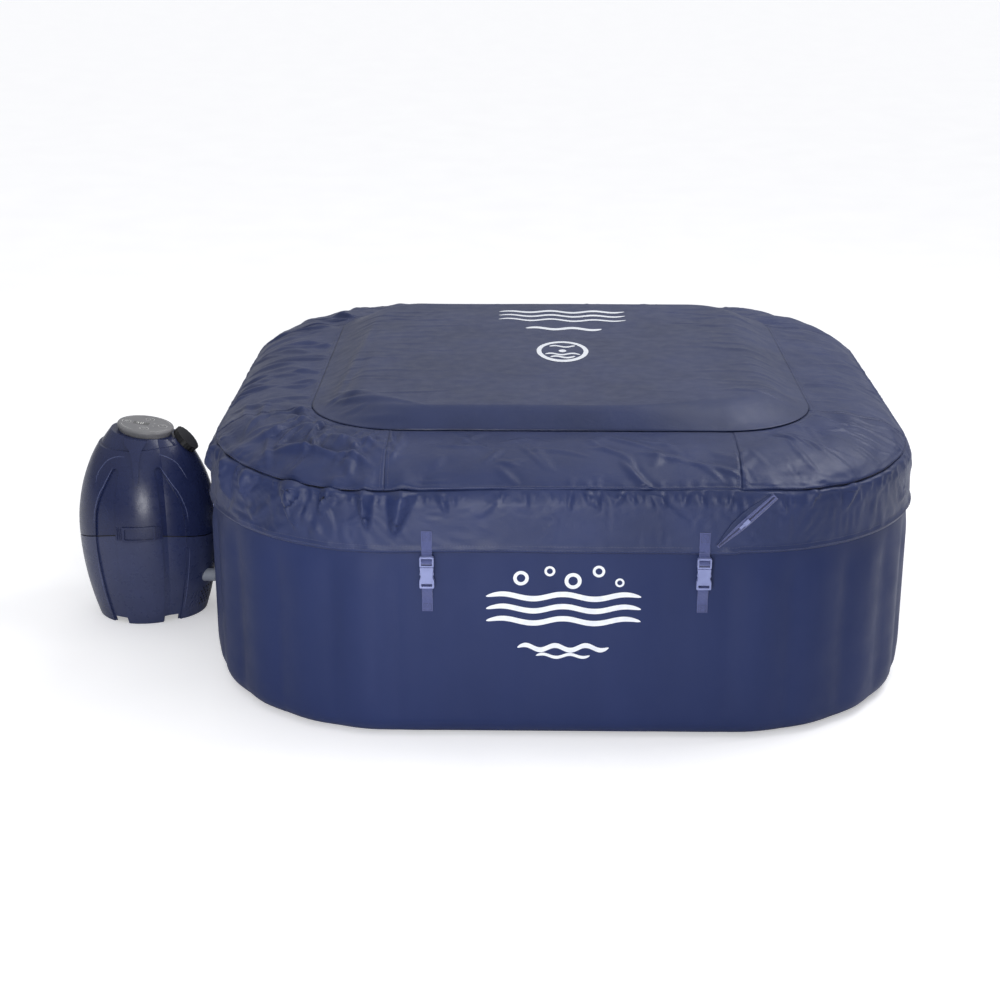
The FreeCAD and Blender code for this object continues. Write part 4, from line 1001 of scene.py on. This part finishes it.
def panel_folds():
    """Folds of the top panel: pulled lines near its left and right ends, and a crumpled front left corner."""
    r = FOLD_RANDOM
    folds = []
    strewn = ((26, -0.60, -0.34, -0.50, 0.55, 0.0018), (30, 0.40, 0.60, -0.45, 0.55, 0.0020),
              (10, -0.30, 0.30, -0.55, 0.55, 0.0006))
    for count, low, high, y0, y1, tall in strewn:
        for _ in range(count):
            x, y, long = r.uniform(low, high), r.uniform(y0, y1), r.uniform(0.12, 0.30)
            rise = long * r.normal(0.0, 0.08)
            folds.append((x - long / 2, y - rise, x + long / 2, y + rise, r.uniform(0.006, 0.011),
                          tall * r.uniform(0.4, 1.0), r.normal(0, 0.006)))
    for _ in range(9):
        x, y, long = r.uniform(-0.62, -0.46), r.uniform(-0.62, -0.44), r.uniform(0.12, 0.26)
        angle = r.uniform(-0.9, 0.3)
        dx, dy = long / 2 * math.cos(angle), long / 2 * math.sin(angle)
        folds.append((x - dx, y - dy, x + dx, y + dy, r.uniform(0.008, 0.015), r.uniform(0.002, 0.0045), 0.008))
    folds += [
        (-0.62, -0.545, -0.36, -0.618, 0.012, 0.0075, 0.012), (-0.60, -0.47, -0.33, -0.590, 0.011, 0.0060, -0.012),
        (-0.60, -0.40, -0.40, -0.530, 0.012, 0.0050, 0.010), (-0.575, -0.46, -0.560, 0.05, 0.013, 0.0060, 0.006),
        (-0.545, -0.30, -0.530, 0.38, 0.014, 0.0050, -0.006), (-0.64, -0.50, -0.56, -0.44, 0.010, 0.0060, 0.0),
    ]
    for k in range(12):
        x = -0.5 + k * 0.09 + r.uniform(-0.02, 0.02)
        folds.append((x, -0.645, x + r.normal(0, 0.02), -0.60, 0.006, r.uniform(0.0006, 0.0016), 0.0))
    return folds


PANEL_FOLDS = panel_folds()


def panel_height(x, y):
    """Height of the top panel: a slope up from its seam, an edge, and a nearly flat top with slack in it."""
    rho = from_core(x, y)
    crisp = smooth_step(-y, 0.42, 0.60) * (1 - smooth_step(x, 0.15, 0.55)) * smooth_step(x, -0.58, -0.34)
    width = (PANEL_SEAM - PLATEAU_EDGE + 0.026) * (1 + 1.3 * (1 - crisp))
    edge = (PANEL_SEAM - rho) / width
    firm = 1 - np.maximum(1 - edge, 0) ** 1.22
    rise = firm * crisp + smooth_step(edge, -0.12, 1.1) * (1 - crisp)
    crown = 0.0030 * (1 - np.exp(-np.maximum(0.19 - rho, 0) / 0.16))
    z = PANEL_SEAM_Z + (PLATEAU_Z + 0.0005 - PANEL_SEAM_Z) * rise + crown
    inside = smooth_step(edge, 0.6, 1.6)
    z = z + inside * (PANEL_WAVES(x, y) * 0.0014 + PANEL_FINE(x, y) * 0.0002)
    return z + ridges(x, y, PANEL_FOLDS) * smooth_step(edge, 0.05, 0.7)


def square_map(count, reach):
    """Grid over the rounded square that reaches that far from the core square's sides."""
    spots = np.linspace(-1, 1, count)
    gx, gy = np.meshgrid(spots, spots)
    size = np.maximum(np.abs(gx), np.abs(gy))
    safe = np.where(size > 0, size, 1)
    ux, uy = gx / safe, gy / safe
    side = np.select([uy <= -1 + 1e-9, ux >= 1 - 1e-9, uy >= 1 - 1e-9], [0, 1, 2], 3)
    run = np.select([side == 0, side == 1, side == 2], [ux, uy, -ux], -uy)
    x, y, nx, ny = square_at(side * QUARTER + run * QUARTER / 2)
    return (x + nx * reach) * size, (y + ny * reach) * size


def make_top_panel():
    x, y = square_map(PANEL_GRID, PANEL_SEAM)
    points = np.stack([x, y, panel_height(x, y)], axis=-1)
    panel = make_object("cover_top_cloth", points.reshape(-1, 3), grid_faces(PANEL_GRID, PANEL_GRID),
                        MATERIALS["cover_top"])
    solidify(panel, 0.0012)
    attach(panel, "cover")
    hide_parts("cover_top_panel")
    COVER_PIECES.append(panel)


def make_lid():
    """Inflated lid in the cover's pocket: a rounded cushion with rows of dimples where its sides are tied."""
    low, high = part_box("lid_insert")
    reach = high[0] - CORE - 0.006
    count = 121
    middle, half = (low[2] + high[2]) / 2 - 0.004, (high[2] - low[2]) / 2 - 0.005
    x, y = square_map(count, reach)
    sheets = []
    for side in (1, -1):
        round_off = np.clip((reach - from_core(x, y)) / 0.09, 0, 1)
        height = half * np.sqrt(np.maximum(1 - (1 - round_off) ** 2, 0))
        tie = np.cos(x * 2 * math.pi / 0.14) * np.cos(y * 2 * math.pi / 0.14)
        height = height - smooth_step(tie, 0.55, 1.0) * 0.006 * smooth_step(round_off, 0.9, 1.0)
        sheets.append(np.stack([x, y, middle + side * height], axis=-1).reshape(-1, 3))
    faces = grid_faces(count, count) + [tuple(count * count + k for k in reversed(face))
                                        for face in grid_faces(count, count)]
    lid = make_object("lid_cushion", np.concatenate(sheets), faces, MATERIALS["liner"])
    weld = lid.modifiers.new("weld", "WELD")
    weld.merge_threshold = 0.0002
    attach(lid, "cover")
    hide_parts("lid_insert")


# ---------------------------------------------------------------- inside of the tub
FLOOR_WAVES = Noise(51, 18, 1.0, 3.0)


def make_floor_sheet():
    """The tub's base, with welded cross lines where the floor's quilting is."""
    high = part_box("base_sheet")[1]
    count = 201
    x, y = square_map(count, high[0] - CORE)
    lines = np.maximum(*[bump_at(np.mod(v + 0.06, 0.12) - 0.06, 0, 0.006) for v in (x, y)])
    basin = 1 - smooth_step(from_core(x, y), 0.15, 0.18)
    puff = np.abs(np.sin(x * math.pi / 0.12) * np.sin(y * math.pi / 0.12)) ** 0.5
    z = 0.0021 + basin * (0.0045 * puff * (1 - lines) + FLOOR_WAVES(x, y) * 0.0004)
    sheet = make_object("floor_sheet", np.stack([x, y, z], axis=-1).reshape(-1, 3), grid_faces(count, count),
                        MATERIALS["liner"])
    solidify(sheet, 0.0018)
    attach(sheet, "tub")
    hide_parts("base_sheet")


def make_bubble_channel():
    low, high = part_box("bubble_channel")
    outer, top = high[0] - CORE, high[2]
    inner = outer - 0.0417
    middle, half = (outer + inner) / 2, (outer - inner) / 2 - 0.0004
    centre_z, half_z = (top + 0.008) / 2, (top - 0.008) / 2 - 0.0004
    angle = np.radians(np.arange(24) * 15)

    def squarish(value):
        return np.sign(value) * np.abs(value) ** 0.75

    section = np.stack([middle + half * squarish(np.cos(angle)), centre_z + half_z * squarish(np.sin(angle))], axis=1)
    columns = 420
    s = np.arange(columns) * AROUND / columns
    swell = 1 + 0.03 * FLOOR_WAVES(s, 0.0)[None, :]
    rho = middle + (section[:, :1] - middle) * np.minimum(swell, 1)
    points = ring_points(s, rho, section[:, 1:])
    tube = make_object("bubble_tube", points.reshape(-1, 3),
                       grid_faces(24, columns, wrap_rows=True, wrap_columns=True), MATERIALS["liner"])
    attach(tube, "tub")
    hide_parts("bubble_channel")
    jets, faces = [], []
    for k in range(32):
        x, y, nx, ny = square_at((k + 0.5) * AROUND / 32)
        centre = np.array([x + nx * (inner + 0.0006), y + ny * (inner + 0.0006), centre_z + 0.004])
        side, up, out = np.array([-ny, nx, 0]), np.array([0, 0, 1]), np.array([-nx, -ny, 0])
        first = len(jets)
        for radius, depth in ((0.0062, -0.002), (0.0058, 0.0012), (0.0030, 0.0012), (0.0022, -0.001)):
            for turn in np.radians(np.arange(0, 360, 24)):
                jets.append(centre + side * radius * math.cos(turn) + up * radius * math.sin(turn) + out * depth)
        faces += [tuple(first + v for v in face) for face in grid_faces(4, 15, wrap_columns=True)]
    nozzles = make_object("bubble_jets", jets, faces, MATERIALS["white"])
    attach(nozzles, "tub")


# ---------------------------------------------------------------- webbing and zip
def surface_tree(objects):
    """What rays hit: the shown shape of some pieces."""
    graph = bpy.context.evaluated_depsgraph_get()
    vertices, polygons = [], []
    for obj in objects:
        mesh = obj.evaluated_get(graph).to_mesh()
        first = len(vertices)
        vertices += [tuple(obj.matrix_world @ v.co) for v in mesh.vertices]
        polygons += [tuple(first + k for k in polygon.vertices) for polygon in mesh.polygons]
    return BVHTree.FromPolygons(vertices, polygons)


def turned(points, quarter):
    angle = math.pi / 2 * quarter
    c, s = round(math.cos(angle)), round(math.sin(angle))
    points = np.asarray(points, float)
    return np.stack([points[..., 0] * c - points[..., 1] * s, points[..., 0] * s + points[..., 1] * c,
                     points[..., 2]], axis=-1)


def height_on(tree, x, z, quarter, fallback):
    """How far out of the wall's face a surface lies, seen from outside one side of the tub."""
    start, way = turned((x, -2.0, z), quarter), turned((0, 1.0, 0), quarter)
    hit = tree.ray_cast(Vector(start), Vector(way))[0]
    if hit is None:
        return fallback
    return -turned(tuple(hit), (4 - quarter) % 4)[1] - HALF


def smooth_path(points, steps=6):
    """Curve through the points (Catmull-Rom)."""
    points = np.asarray(points, float)
    padded = np.concatenate([2 * points[:1] - points[1:2], points, 2 * points[-1:] - points[-2:-1]])
    made = []
    for k in range(len(points) - 1):
        a, b, c, d = padded[k:k + 4]
        for t in np.arange(steps) / steps:
            made.append(0.5 * (2 * b + (c - a) * t + (2 * a - 5 * b + 4 * c - d) * t * t
                               + (3 * b - a - 3 * c + d) * t ** 3))
    return np.array(made + [points[-1]])


def ribbon(name, path, x, quarter, body):
    """Webbing along a path of (distance out of the wall, height), across one side of the tub."""
    thickness = 0.0013
    path = smooth_path(path)
    along = np.gradient(path, axis=0)
    along /= np.linalg.norm(along, axis=1, keepdims=True)
    out = np.stack([-along[:, 1], along[:, 0]], axis=1)
    half = WEBBING_WIDTH / 2
    section = [(-half, 0.3), (-half * 0.97, 0.5), (-half * 0.5, 0.46), (0, 0.5), (half * 0.5, 0.46),
               (half * 0.97, 0.5), (half, 0.3), (half, -0.3), (half * 0.97, -0.5), (0, -0.46), (-half * 0.97, -0.5),
               (-half, -0.3)]
    rows = []
    for (n, z), (on, oz) in zip(path, out):
        rows.append([(x + across, -(HALF + n + on * t * thickness), z + oz * t * thickness) for across, t in section])
    points = turned(np.array(rows), quarter)
    count = len(section)
    faces = grid_faces(len(path), count, wrap_columns=True)
    faces += [tuple(range(count)), tuple((len(path) - 1) * count + k for k in reversed(range(count)))]
    strap = make_object(name, points.reshape(-1, 3), faces, MATERIALS["webbing"])
    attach(strap, body)
    return strap, path


def sewn_box(name, x, quarter, body, path, z0, z1):
    """Stitching that fastens a strap's end: a box with a cross in it."""
    half = WEBBING_WIDTH / 2 - 0.0035

    def place(across, z):
        order = np.argsort(path[:, 1])
        n = np.interp(z, path[order, 1], path[order, 0]) + 0.0009
        return turned((x + across, -(HALF + n), z), quarter)

    corners = [(-half, z0), (half, z0), (half, z1), (-half, z1), (-half, z0), (half, z1), (half, z0), (-half, z1)]
    points = []
    for (ax, az), (bx, bz) in zip(corners, corners[1:]):
        points += [place(ax + (bx - ax) * t, az + (bz - az) * t) for t in np.linspace(0, 0.9, 6)]
    normal = turned((0, -1.0, 0), quarter)
    stitches(name, points, np.repeat([normal], len(points), axis=0), body, pitch=0.0042, long=0.0030, wide=0.0008)


def make_straps():
    cover_tree = surface_tree(COVER_PIECES)
    wall_tree = surface_tree([bpy.data.objects["tub_outside_skin"]])
    bar = BUCKLE_Z + 0.0662
    number = 0
    for quarter in range(4):
        for x in CLIP_SPOTS:
            number += 1
            heights = (0.543, 0.528, 0.512, 0.499, 0.491)
            on_cloth = [(height_on(cover_tree, x, z, quarter, 0.008) + 0.0009, z) for z in heights]
            upper = on_cloth + [(0.0108, bar + 0.020), (0.0104, bar + 0.012), (0.0190, bar + 0.0062),
                                (0.0236, bar), (0.0190, bar - 0.0058), (0.0086, bar + 0.004), (0.0080, bar + 0.018)]
            strap, path = ribbon(f"cover_webbing_{number}", upper, x, quarter, "cover")
            if number == 1:
                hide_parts("cover_straps")
            sewn_box(f"cover_webbing_stitching_{number}", x, quarter, "cover", path[:18], 0.519, 0.539)
            on_wall = [(height_on(wall_tree, x, z, quarter, 0.0) + 0.0009, z) for z in (0.337, 0.354, 0.370)]
            lower = on_wall + [(0.0078, BUCKLE_Z - 0.012), (0.0098, BUCKLE_Z + 0.002), (0.0112, BUCKLE_Z + 0.0075),
                               (0.0175, BUCKLE_Z + 0.0108)]
            strap, path = ribbon(f"wall_webbing_{number}", lower, x, quarter, "tub")
            if number == 1:
                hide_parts("wall_straps")
            sewn_box(f"wall_webbing_stitching_{number}", x, quarter, "tub", path[:13], 0.340, 0.357)


def make_zip():
    """Zip tape with its rows of teeth and its stitching, held out on the skirt."""
    count = 60
    x, z, s = zip_points(count)
    cx, cy, nx, ny = square_at(s)
    out = np.stack([nx, ny, np.zeros(count)], axis=1)
    centre = np.stack([cx, cy, z], axis=1) + out * (COVER + 0.0009)
    along = np.gradient(centre, axis=0)
    along /= np.linalg.norm(along, axis=1, keepdims=True)
    across = np.cross(out, along)
    half = 0.0098
    section = [(-half, -0.0012), (-half, 0.0004), (-half * 0.55, 0.0007), (-0.0028, 0.0003), (0.0028, 0.0003),
               (half * 0.55, 0.0007), (half, 0.0004), (half, -0.0012)]
    narrow = (0.45 + 0.55 * smooth_step(np.linspace(0, 1, count), 0.0, 0.5))[:, None]
    rows = np.stack([centre + across * a * narrow + out * t for a, t in section], axis=1)
    tape = make_object("zip_tape_cloth", rows.reshape(-1, 3), grid_faces(count, len(section), flip=True),
                       MATERIALS["zip_tape"])
    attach(tape, "cover")
    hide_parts("zip_tape")
    bow = (np.sin(np.linspace(0, math.pi, count)) ** 0.8)[:, None]
    section = [(0, -0.0010), (0.15, 0.0006), (0.8, 0.0010), (0.93, 0.0020), (1.0, 0.0012), (1.06, -0.0016)]
    rows = np.stack([centre + across * (half * 0.8 * narrow + 0.015 * bow * a) + out * t for a, t in section], axis=1)
    flap = make_object("zip_flap_cloth", rows.reshape(-1, 3), grid_faces(count, len(section), flip=True),
                       MATERIALS["cover_top"])
    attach(flap, "cover")
    run = run_along(centre)
    spots = np.arange(0.004, run[-1] - 0.004, 0.0021)
    base, way, side, up = [sampled(spots, run, values) for values in (centre, along, across, out)]
    teeth, faces = [], []
    for k in range(len(spots)):
        shift = side[k] * (0.0007 if k % 2 else -0.0007)
        first = len(teeth)
        for height, grow in ((0.0002, 1.0), (0.0015, 0.8)):
            for a, b in ((-1, -1), (1, -1), (1, 1), (-1, 1)):
                teeth.append(base[k] + shift + up[k] * height + side[k] * a * 0.0019 * grow
                             + way[k] * b * 0.0008 * grow)
        faces += [(first + a, first + (a + 1) % 4, first + 4 + (a + 1) % 4, first + 4 + a) for a in range(4)]
        faces.append(tuple(first + 4 + a for a in range(4)))
    coil = make_object("zip_teeth", teeth, faces, MATERIALS["zip"], smooth=False)
    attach(coil, "cover")
    for side_name, offset in (("upper", 0.0068), ("lower", -0.0068)):
        stitches(f"zip_stitching_{side_name}", centre + across * offset * narrow + out * 0.0008, out,
                 pitch=0.0062, long=0.0042)


# ---------------------------------------------------------------- printed marks
def wave_line(u0, u1, v, swing, wave, thick):
    """A wavy band with tapered ends: an array of rows and columns of (u, v)."""
    u = np.linspace(u0, u1, 72)
    middle = v + swing * np.sin((u - u0) * 2 * math.pi / wave)
    taper = thick / 2 * np.sqrt(np.clip(1 - (2 * (u - u0) / (u1 - u0) - 1) ** 8, 0.02, 1))
    edges = np.linspace(-1, 1, 4)
    return np.stack([np.stack([u, middle + taper * edge], axis=-1) for edge in edges], axis=1)


def ring_mark(u, v, inner, outer, stretch=1.0):
    """Disc, or ring where inner is more than 0."""
    turn = np.linspace(0, 2 * math.pi, 40)
    radii = np.linspace(inner, outer, 4)
    return np.stack([np.stack([u + r * stretch * np.cos(turn), v + r * np.sin(turn)], axis=-1) for r in radii], axis=1)


def print_marks(name, marks, place, body, material="print"):
    """Marks as thin skins: place gives the point on the surface for (u, v)."""
    points, faces = [], []
    for mark in marks:
        first = len(points)
        rows, columns = mark.shape[:2]
        points += [place(u, v) for u, v in mark.reshape(-1, 2)]
        faces += [tuple(first + k for k in face) for face in grid_faces(rows, columns)]
    printed = make_object(name, points, faces, MATERIALS[material])
    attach(printed, body)


def bathing_mark(u, v, size):
    """A generic bathing mark: three waves with bubbles rising from them."""
    waves = [wave_line(u - size, u + size, v - size * (0.05 + 0.17 * k), size * 0.035, size * 0.8, size * 0.075)
             for k in range(3)]
    bubbles = [ring_mark(u + size * du, v + size * dv, size * r * 0.55, size * r)
               for du, dv, r in ((-0.55, 0.20, 0.10), (-0.18, 0.30, 0.07), (0.12, 0.17, 0.11), (0.45, 0.30, 0.08),
                                 (0.72, 0.15, 0.06))]
    return waves + bubbles


def make_marks():
    wall_tree = surface_tree([bpy.data.objects["tub_outside_skin"]])

    def on_wall(u, v):
        return (u, -(HALF + height_on(wall_tree, u, v, 0, 0.0) + 0.0006), v)

    def on_panel(u, v):
        return (u, v, float(panel_height(np.array(u), np.array(v))) + 0.0006)

    small = [wave_line(-0.105, 0.115, 0.243, 0.006, 0.073, 0.013), wave_line(-0.06, 0.07, 0.222, 0.004, 0.065, 0.008)]
    print_marks("wall_mark", bathing_mark(0.005, 0.385, 0.185) + small, on_wall, "tub")
    badge = [ring_mark(0.012, -0.07, 0.094, 0.115, 0.62), ring_mark(0.012, -0.07, 0.0, 0.015, 0.7)]
    badge += [wave_line(0.012 - w, 0.012 + w, dv - 0.07, 0.008, 0.06, 0.015)
              for w, dv in ((0.036, 0.052), (0.048, -0.036), (0.034, -0.066))]
    wide = [wave_line(-0.17, 0.205, v, 0.010, 0.125, thick) for v, thick in ((0.40, 0.020), (0.35, 0.018), (0.30, 0.016))]
    wide.append(wave_line(-0.09, 0.13, 0.20, 0.010, 0.11, 0.024))
    print_marks("cover_mark", badge + wide, on_panel, "cover")


# ---------------------------------------------------------------- control head prints
HEAD_TILT = math.radians(8.5)
HEAD_AT = np.array([-1.155, -0.070, 0.529])
HEAD_AHEAD = np.array([math.cos(HEAD_TILT), 0, -math.sin(HEAD_TILT)])
HEAD_UP = np.array([math.sin(HEAD_TILT), 0, math.cos(HEAD_TILT)])
BUTTON_SPOTS = ((-0.054, 0.0), (0.004, -0.042), (0.004, 0.042), (0.048, 0.0))
LIT_PARTS = {"3": "abcdg", "8": "abcdefg"}


def head_place(top):
    """Puts (u, v) of the control face, u towards the tub, on the tilted head, at a height on its own axis."""
    def place(u, v):
        return HEAD_AT + HEAD_AHEAD * u + np.array([0, 1, 0]) * v + HEAD_UP * top

    return place


def bar_mark(u0, v0, u1, v1, thick):
    """Straight band between two points."""
    a, b = np.array([u0, v0]), np.array([u1, v1])
    side = np.array([-(b - a)[1], (b - a)[0]])
    side = side / np.linalg.norm(side) * thick / 2
    return np.array([[a - side, a + side], [b - side, b + side]])


def arc_mark(u, v, radius, thick, start, end):
    turn = np.radians(np.linspace(start, end, 24))
    return np.stack([np.stack([u + r * np.cos(turn), v + r * np.sin(turn)], axis=-1)
                     for r in (radius - thick / 2, radius + thick / 2)], axis=1)


def digit(character, u, v, tall):
    """Seven-bar digit, read from the front: its right is +u and its top is +v."""
    wide, h, t = tall * 0.5, tall / 2, tall * 0.14
    bars = {"a": (0, tall, wide, tall), "b": (wide, h, wide, tall), "c": (wide, 0, wide, h), "d": (0, 0, wide, 0),
            "e": (0, 0, 0, h), "f": (0, h, 0, tall), "g": (0, h, wide, h)}
    return [bar_mark(u + a, v + b, u + c, v + d, t) for a, b, c, d in (bars[k] for k in LIT_PARTS[character])]


def make_head_prints():
    glass_top = 0.0206
    digits = digit("3", -0.026, -0.0065, 0.013) + digit("8", -0.014, -0.0065, 0.013)
    digits.append(ring_mark(-0.0035, 0.0055, 0.0008, 0.0016))
    print_marks("display_digits", digits, head_place(glass_top), "pump", "panel_print")
    face_top = 0.0204
    marks = [arc_mark(u, v, 0.0122, 0.0010, 0, 360) for u, v in BUTTON_SPOTS]
    marks += [arc_mark(0, 0, 0.069, 0.0008, a, a + 50) for a in (20, 110, 200, 290)]
    marks += [bar_mark(0.020, -0.012, 0.026, -0.012, 0.0012), bar_mark(0.020, 0.012, 0.026, 0.012, 0.0012)]
    print_marks("panel_prints", marks, head_place(face_top), "pump", "panel_print")
    icons = (
        [arc_mark(0, 0, 0.0040, 0.0011, -230, 50), bar_mark(0, 0.001, 0, 0.0052, 0.0011)],
        [arc_mark(k * 0.0032, 0, 0.0011, 0.0008, 0, 360) for k in (-1, 0, 1)],
        [wave_line(-0.004, 0.004, k * 0.0026, 0.0006, 0.005, 0.0009) for k in (-1, 0, 1)],
        [bar_mark(-0.003, -0.0015, 0, 0.0025, 0.0011), bar_mark(0, 0.0025, 0.003, -0.0015, 0.0011)],
    )
    for k, ((u, v), icon) in enumerate(zip(BUTTON_SPOTS, icons)):
        shifted = [mark + np.array([u, v]) for mark in icon]
        place = head_place(button_top(k + 1) + 0.0003)
        print_marks(f"button_print_{k + 1}", shifted, place, f"button_{k + 1}", "panel_print")


def button_top(number):
    """Height of a button's face on the head's own axis."""
    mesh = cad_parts[f"button_{number}"].data
    return max(float(np.dot(np.array(v.co) - HEAD_AT, HEAD_UP)) for v in mesh.vertices)


# ---------------------------------------------------------------- moulded edges of the pump's shells, with painted highlights
PUMP_AXIS = (-1.175, -0.070)
SHELL_EDGES = {
    "pump_upper_shell": {
        "left": ((-50.3, 0.300), (-50.0, 0.340), (-46.5, 0.385), (-43.0, 0.406), (-38.5, 0.435), (-34.5, 0.460)),
        "right": ((22.5, 0.460), (26.5, 0.435), (31.0, 0.406), (34.5, 0.385), (38.0, 0.340), (38.5, 0.300)),
        "shoulder_left": ((-54, 0.412), (-54, 0.440), (-46, 0.472), (-34, 0.486), (-20, 0.489)),
        "shoulder_right": ((26, 0.488), (35, 0.478), (43, 0.458), (47, 0.415)),
    },
    "pump_lower_shell": {
        "left": ((-50.0, 0.225), (-49.2, 0.150), (-48.3, 0.080), (-47.4, 0.035)),
        "right": ((38.0, 0.225), (37.2, 0.150), (36.3, 0.080), (35.4, 0.035)),
    },
}
SHELL_FRONT = -77  # degrees; the edges' spots are (degrees round from here, height)


def shell_point(tree, degrees, z):
    """Where a ray from outside meets a shell there, its normal, and the way outwards."""
    turn = math.radians(SHELL_FRONT + degrees)
    way = Vector((math.cos(turn), math.sin(turn), 0))
    hit, normal = tree.ray_cast(Vector((*PUMP_AXIS, z)) + way * 0.4, -way)[:2]
    return hit, normal, way


def make_shell_highlight_beads():
    """Fine raised beads where the shells' recessed panels end, in a lighter colour than the shells: a painted highlight
    along those edges.
    """
    for node, edges in SHELL_EDGES.items():
        tree = surface_tree([bpy.data.objects[node]])
        for name, spots in edges.items():
            centre, normals = [], []
            for angle, z in smooth_path(spots, 10):
                hit, _, way = shell_point(tree, angle, z)
                if hit is not None:
                    centre.append(hit)
                    normals.append(way)
            centre, normals = np.array(centre), np.array(normals)
            along = np.gradient(centre, axis=0)
            side = np.cross(along, normals)
            side /= np.linalg.norm(side, axis=1, keepdims=True)
            ends = np.sin(np.linspace(0, math.pi, len(centre)))[:, None] ** 0.4
            section = [(-0.0014, -0.0006), (-0.0008, 0.0006), (0, 0.0009), (0.0008, 0.0006), (0.0014, -0.0006)]
            rows = np.stack([centre + (side * a + normals * t) * ends for a, t in section], axis=1)
            # the beads' lighter colour is a painted highlight
            bead = make_object(f"{node}_edge_{name}", rows.reshape(-1, 3), grid_faces(len(centre), 5),
                               MATERIALS["pump_edge"])
            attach(bead, "pump")


def make_shell_vents():
    """Small round vents low on the side that faces the tub: near-black discs on the shell, painted shade for the holes'
    dark insides.
    """
    tree = surface_tree([bpy.data.objects["pump_lower_shell"]])
    points, faces = [], []
    for row in range(6):
        for column in range(7):
            hit, normal, way = shell_point(tree, 54 + 4.2 * column + 2.1 * (row % 2), 0.034 + 0.0095 * row)
            if hit is None:
                continue
            out = normal if normal.dot(way) > 0 else -normal
            side = out.cross(Vector((0, 0, 1))).normalized()
            up = side.cross(out)
            first = len(points)
            for reach, lift in ((0.0031, -0.0004), (0.0030, 0.0004), (0.0022, 0.0003)):
                for k in range(14):
                    angle = 2 * math.pi * k / 14
                    points.append(hit + out * lift + (side * math.cos(angle) + up * math.sin(angle)) * reach)
            for ring in (0, 14):
                faces += [(first + ring + k, first + ring + (k + 1) % 14, first + ring + 14 + (k + 1) % 14,
                           first + ring + 14 + k) for k in range(14)]
            faces.append(tuple(first + 28 + k for k in range(14)))
    # the vents' near-black colour is painted shade for the holes
    vents = make_object("pump_shell_vents", [tuple(point) for point in points], faces, MATERIALS["seal"])
    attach(vents, "pump")


# ---------------------------------------------------------------- whole thing
make_stage()
make_camera()
paint_nodes()
make_tub_skin()
cover_grid, cover_seam_row, cover_seams = make_cover_border()
make_cover_stitching(cover_grid, cover_seam_row, cover_seams)
make_top_panel()
make_lid()
make_floor_sheet()
make_bubble_channel()
make_straps()
make_zip()
make_marks()
make_head_prints()
make_shell_highlight_beads()
make_shell_vents()
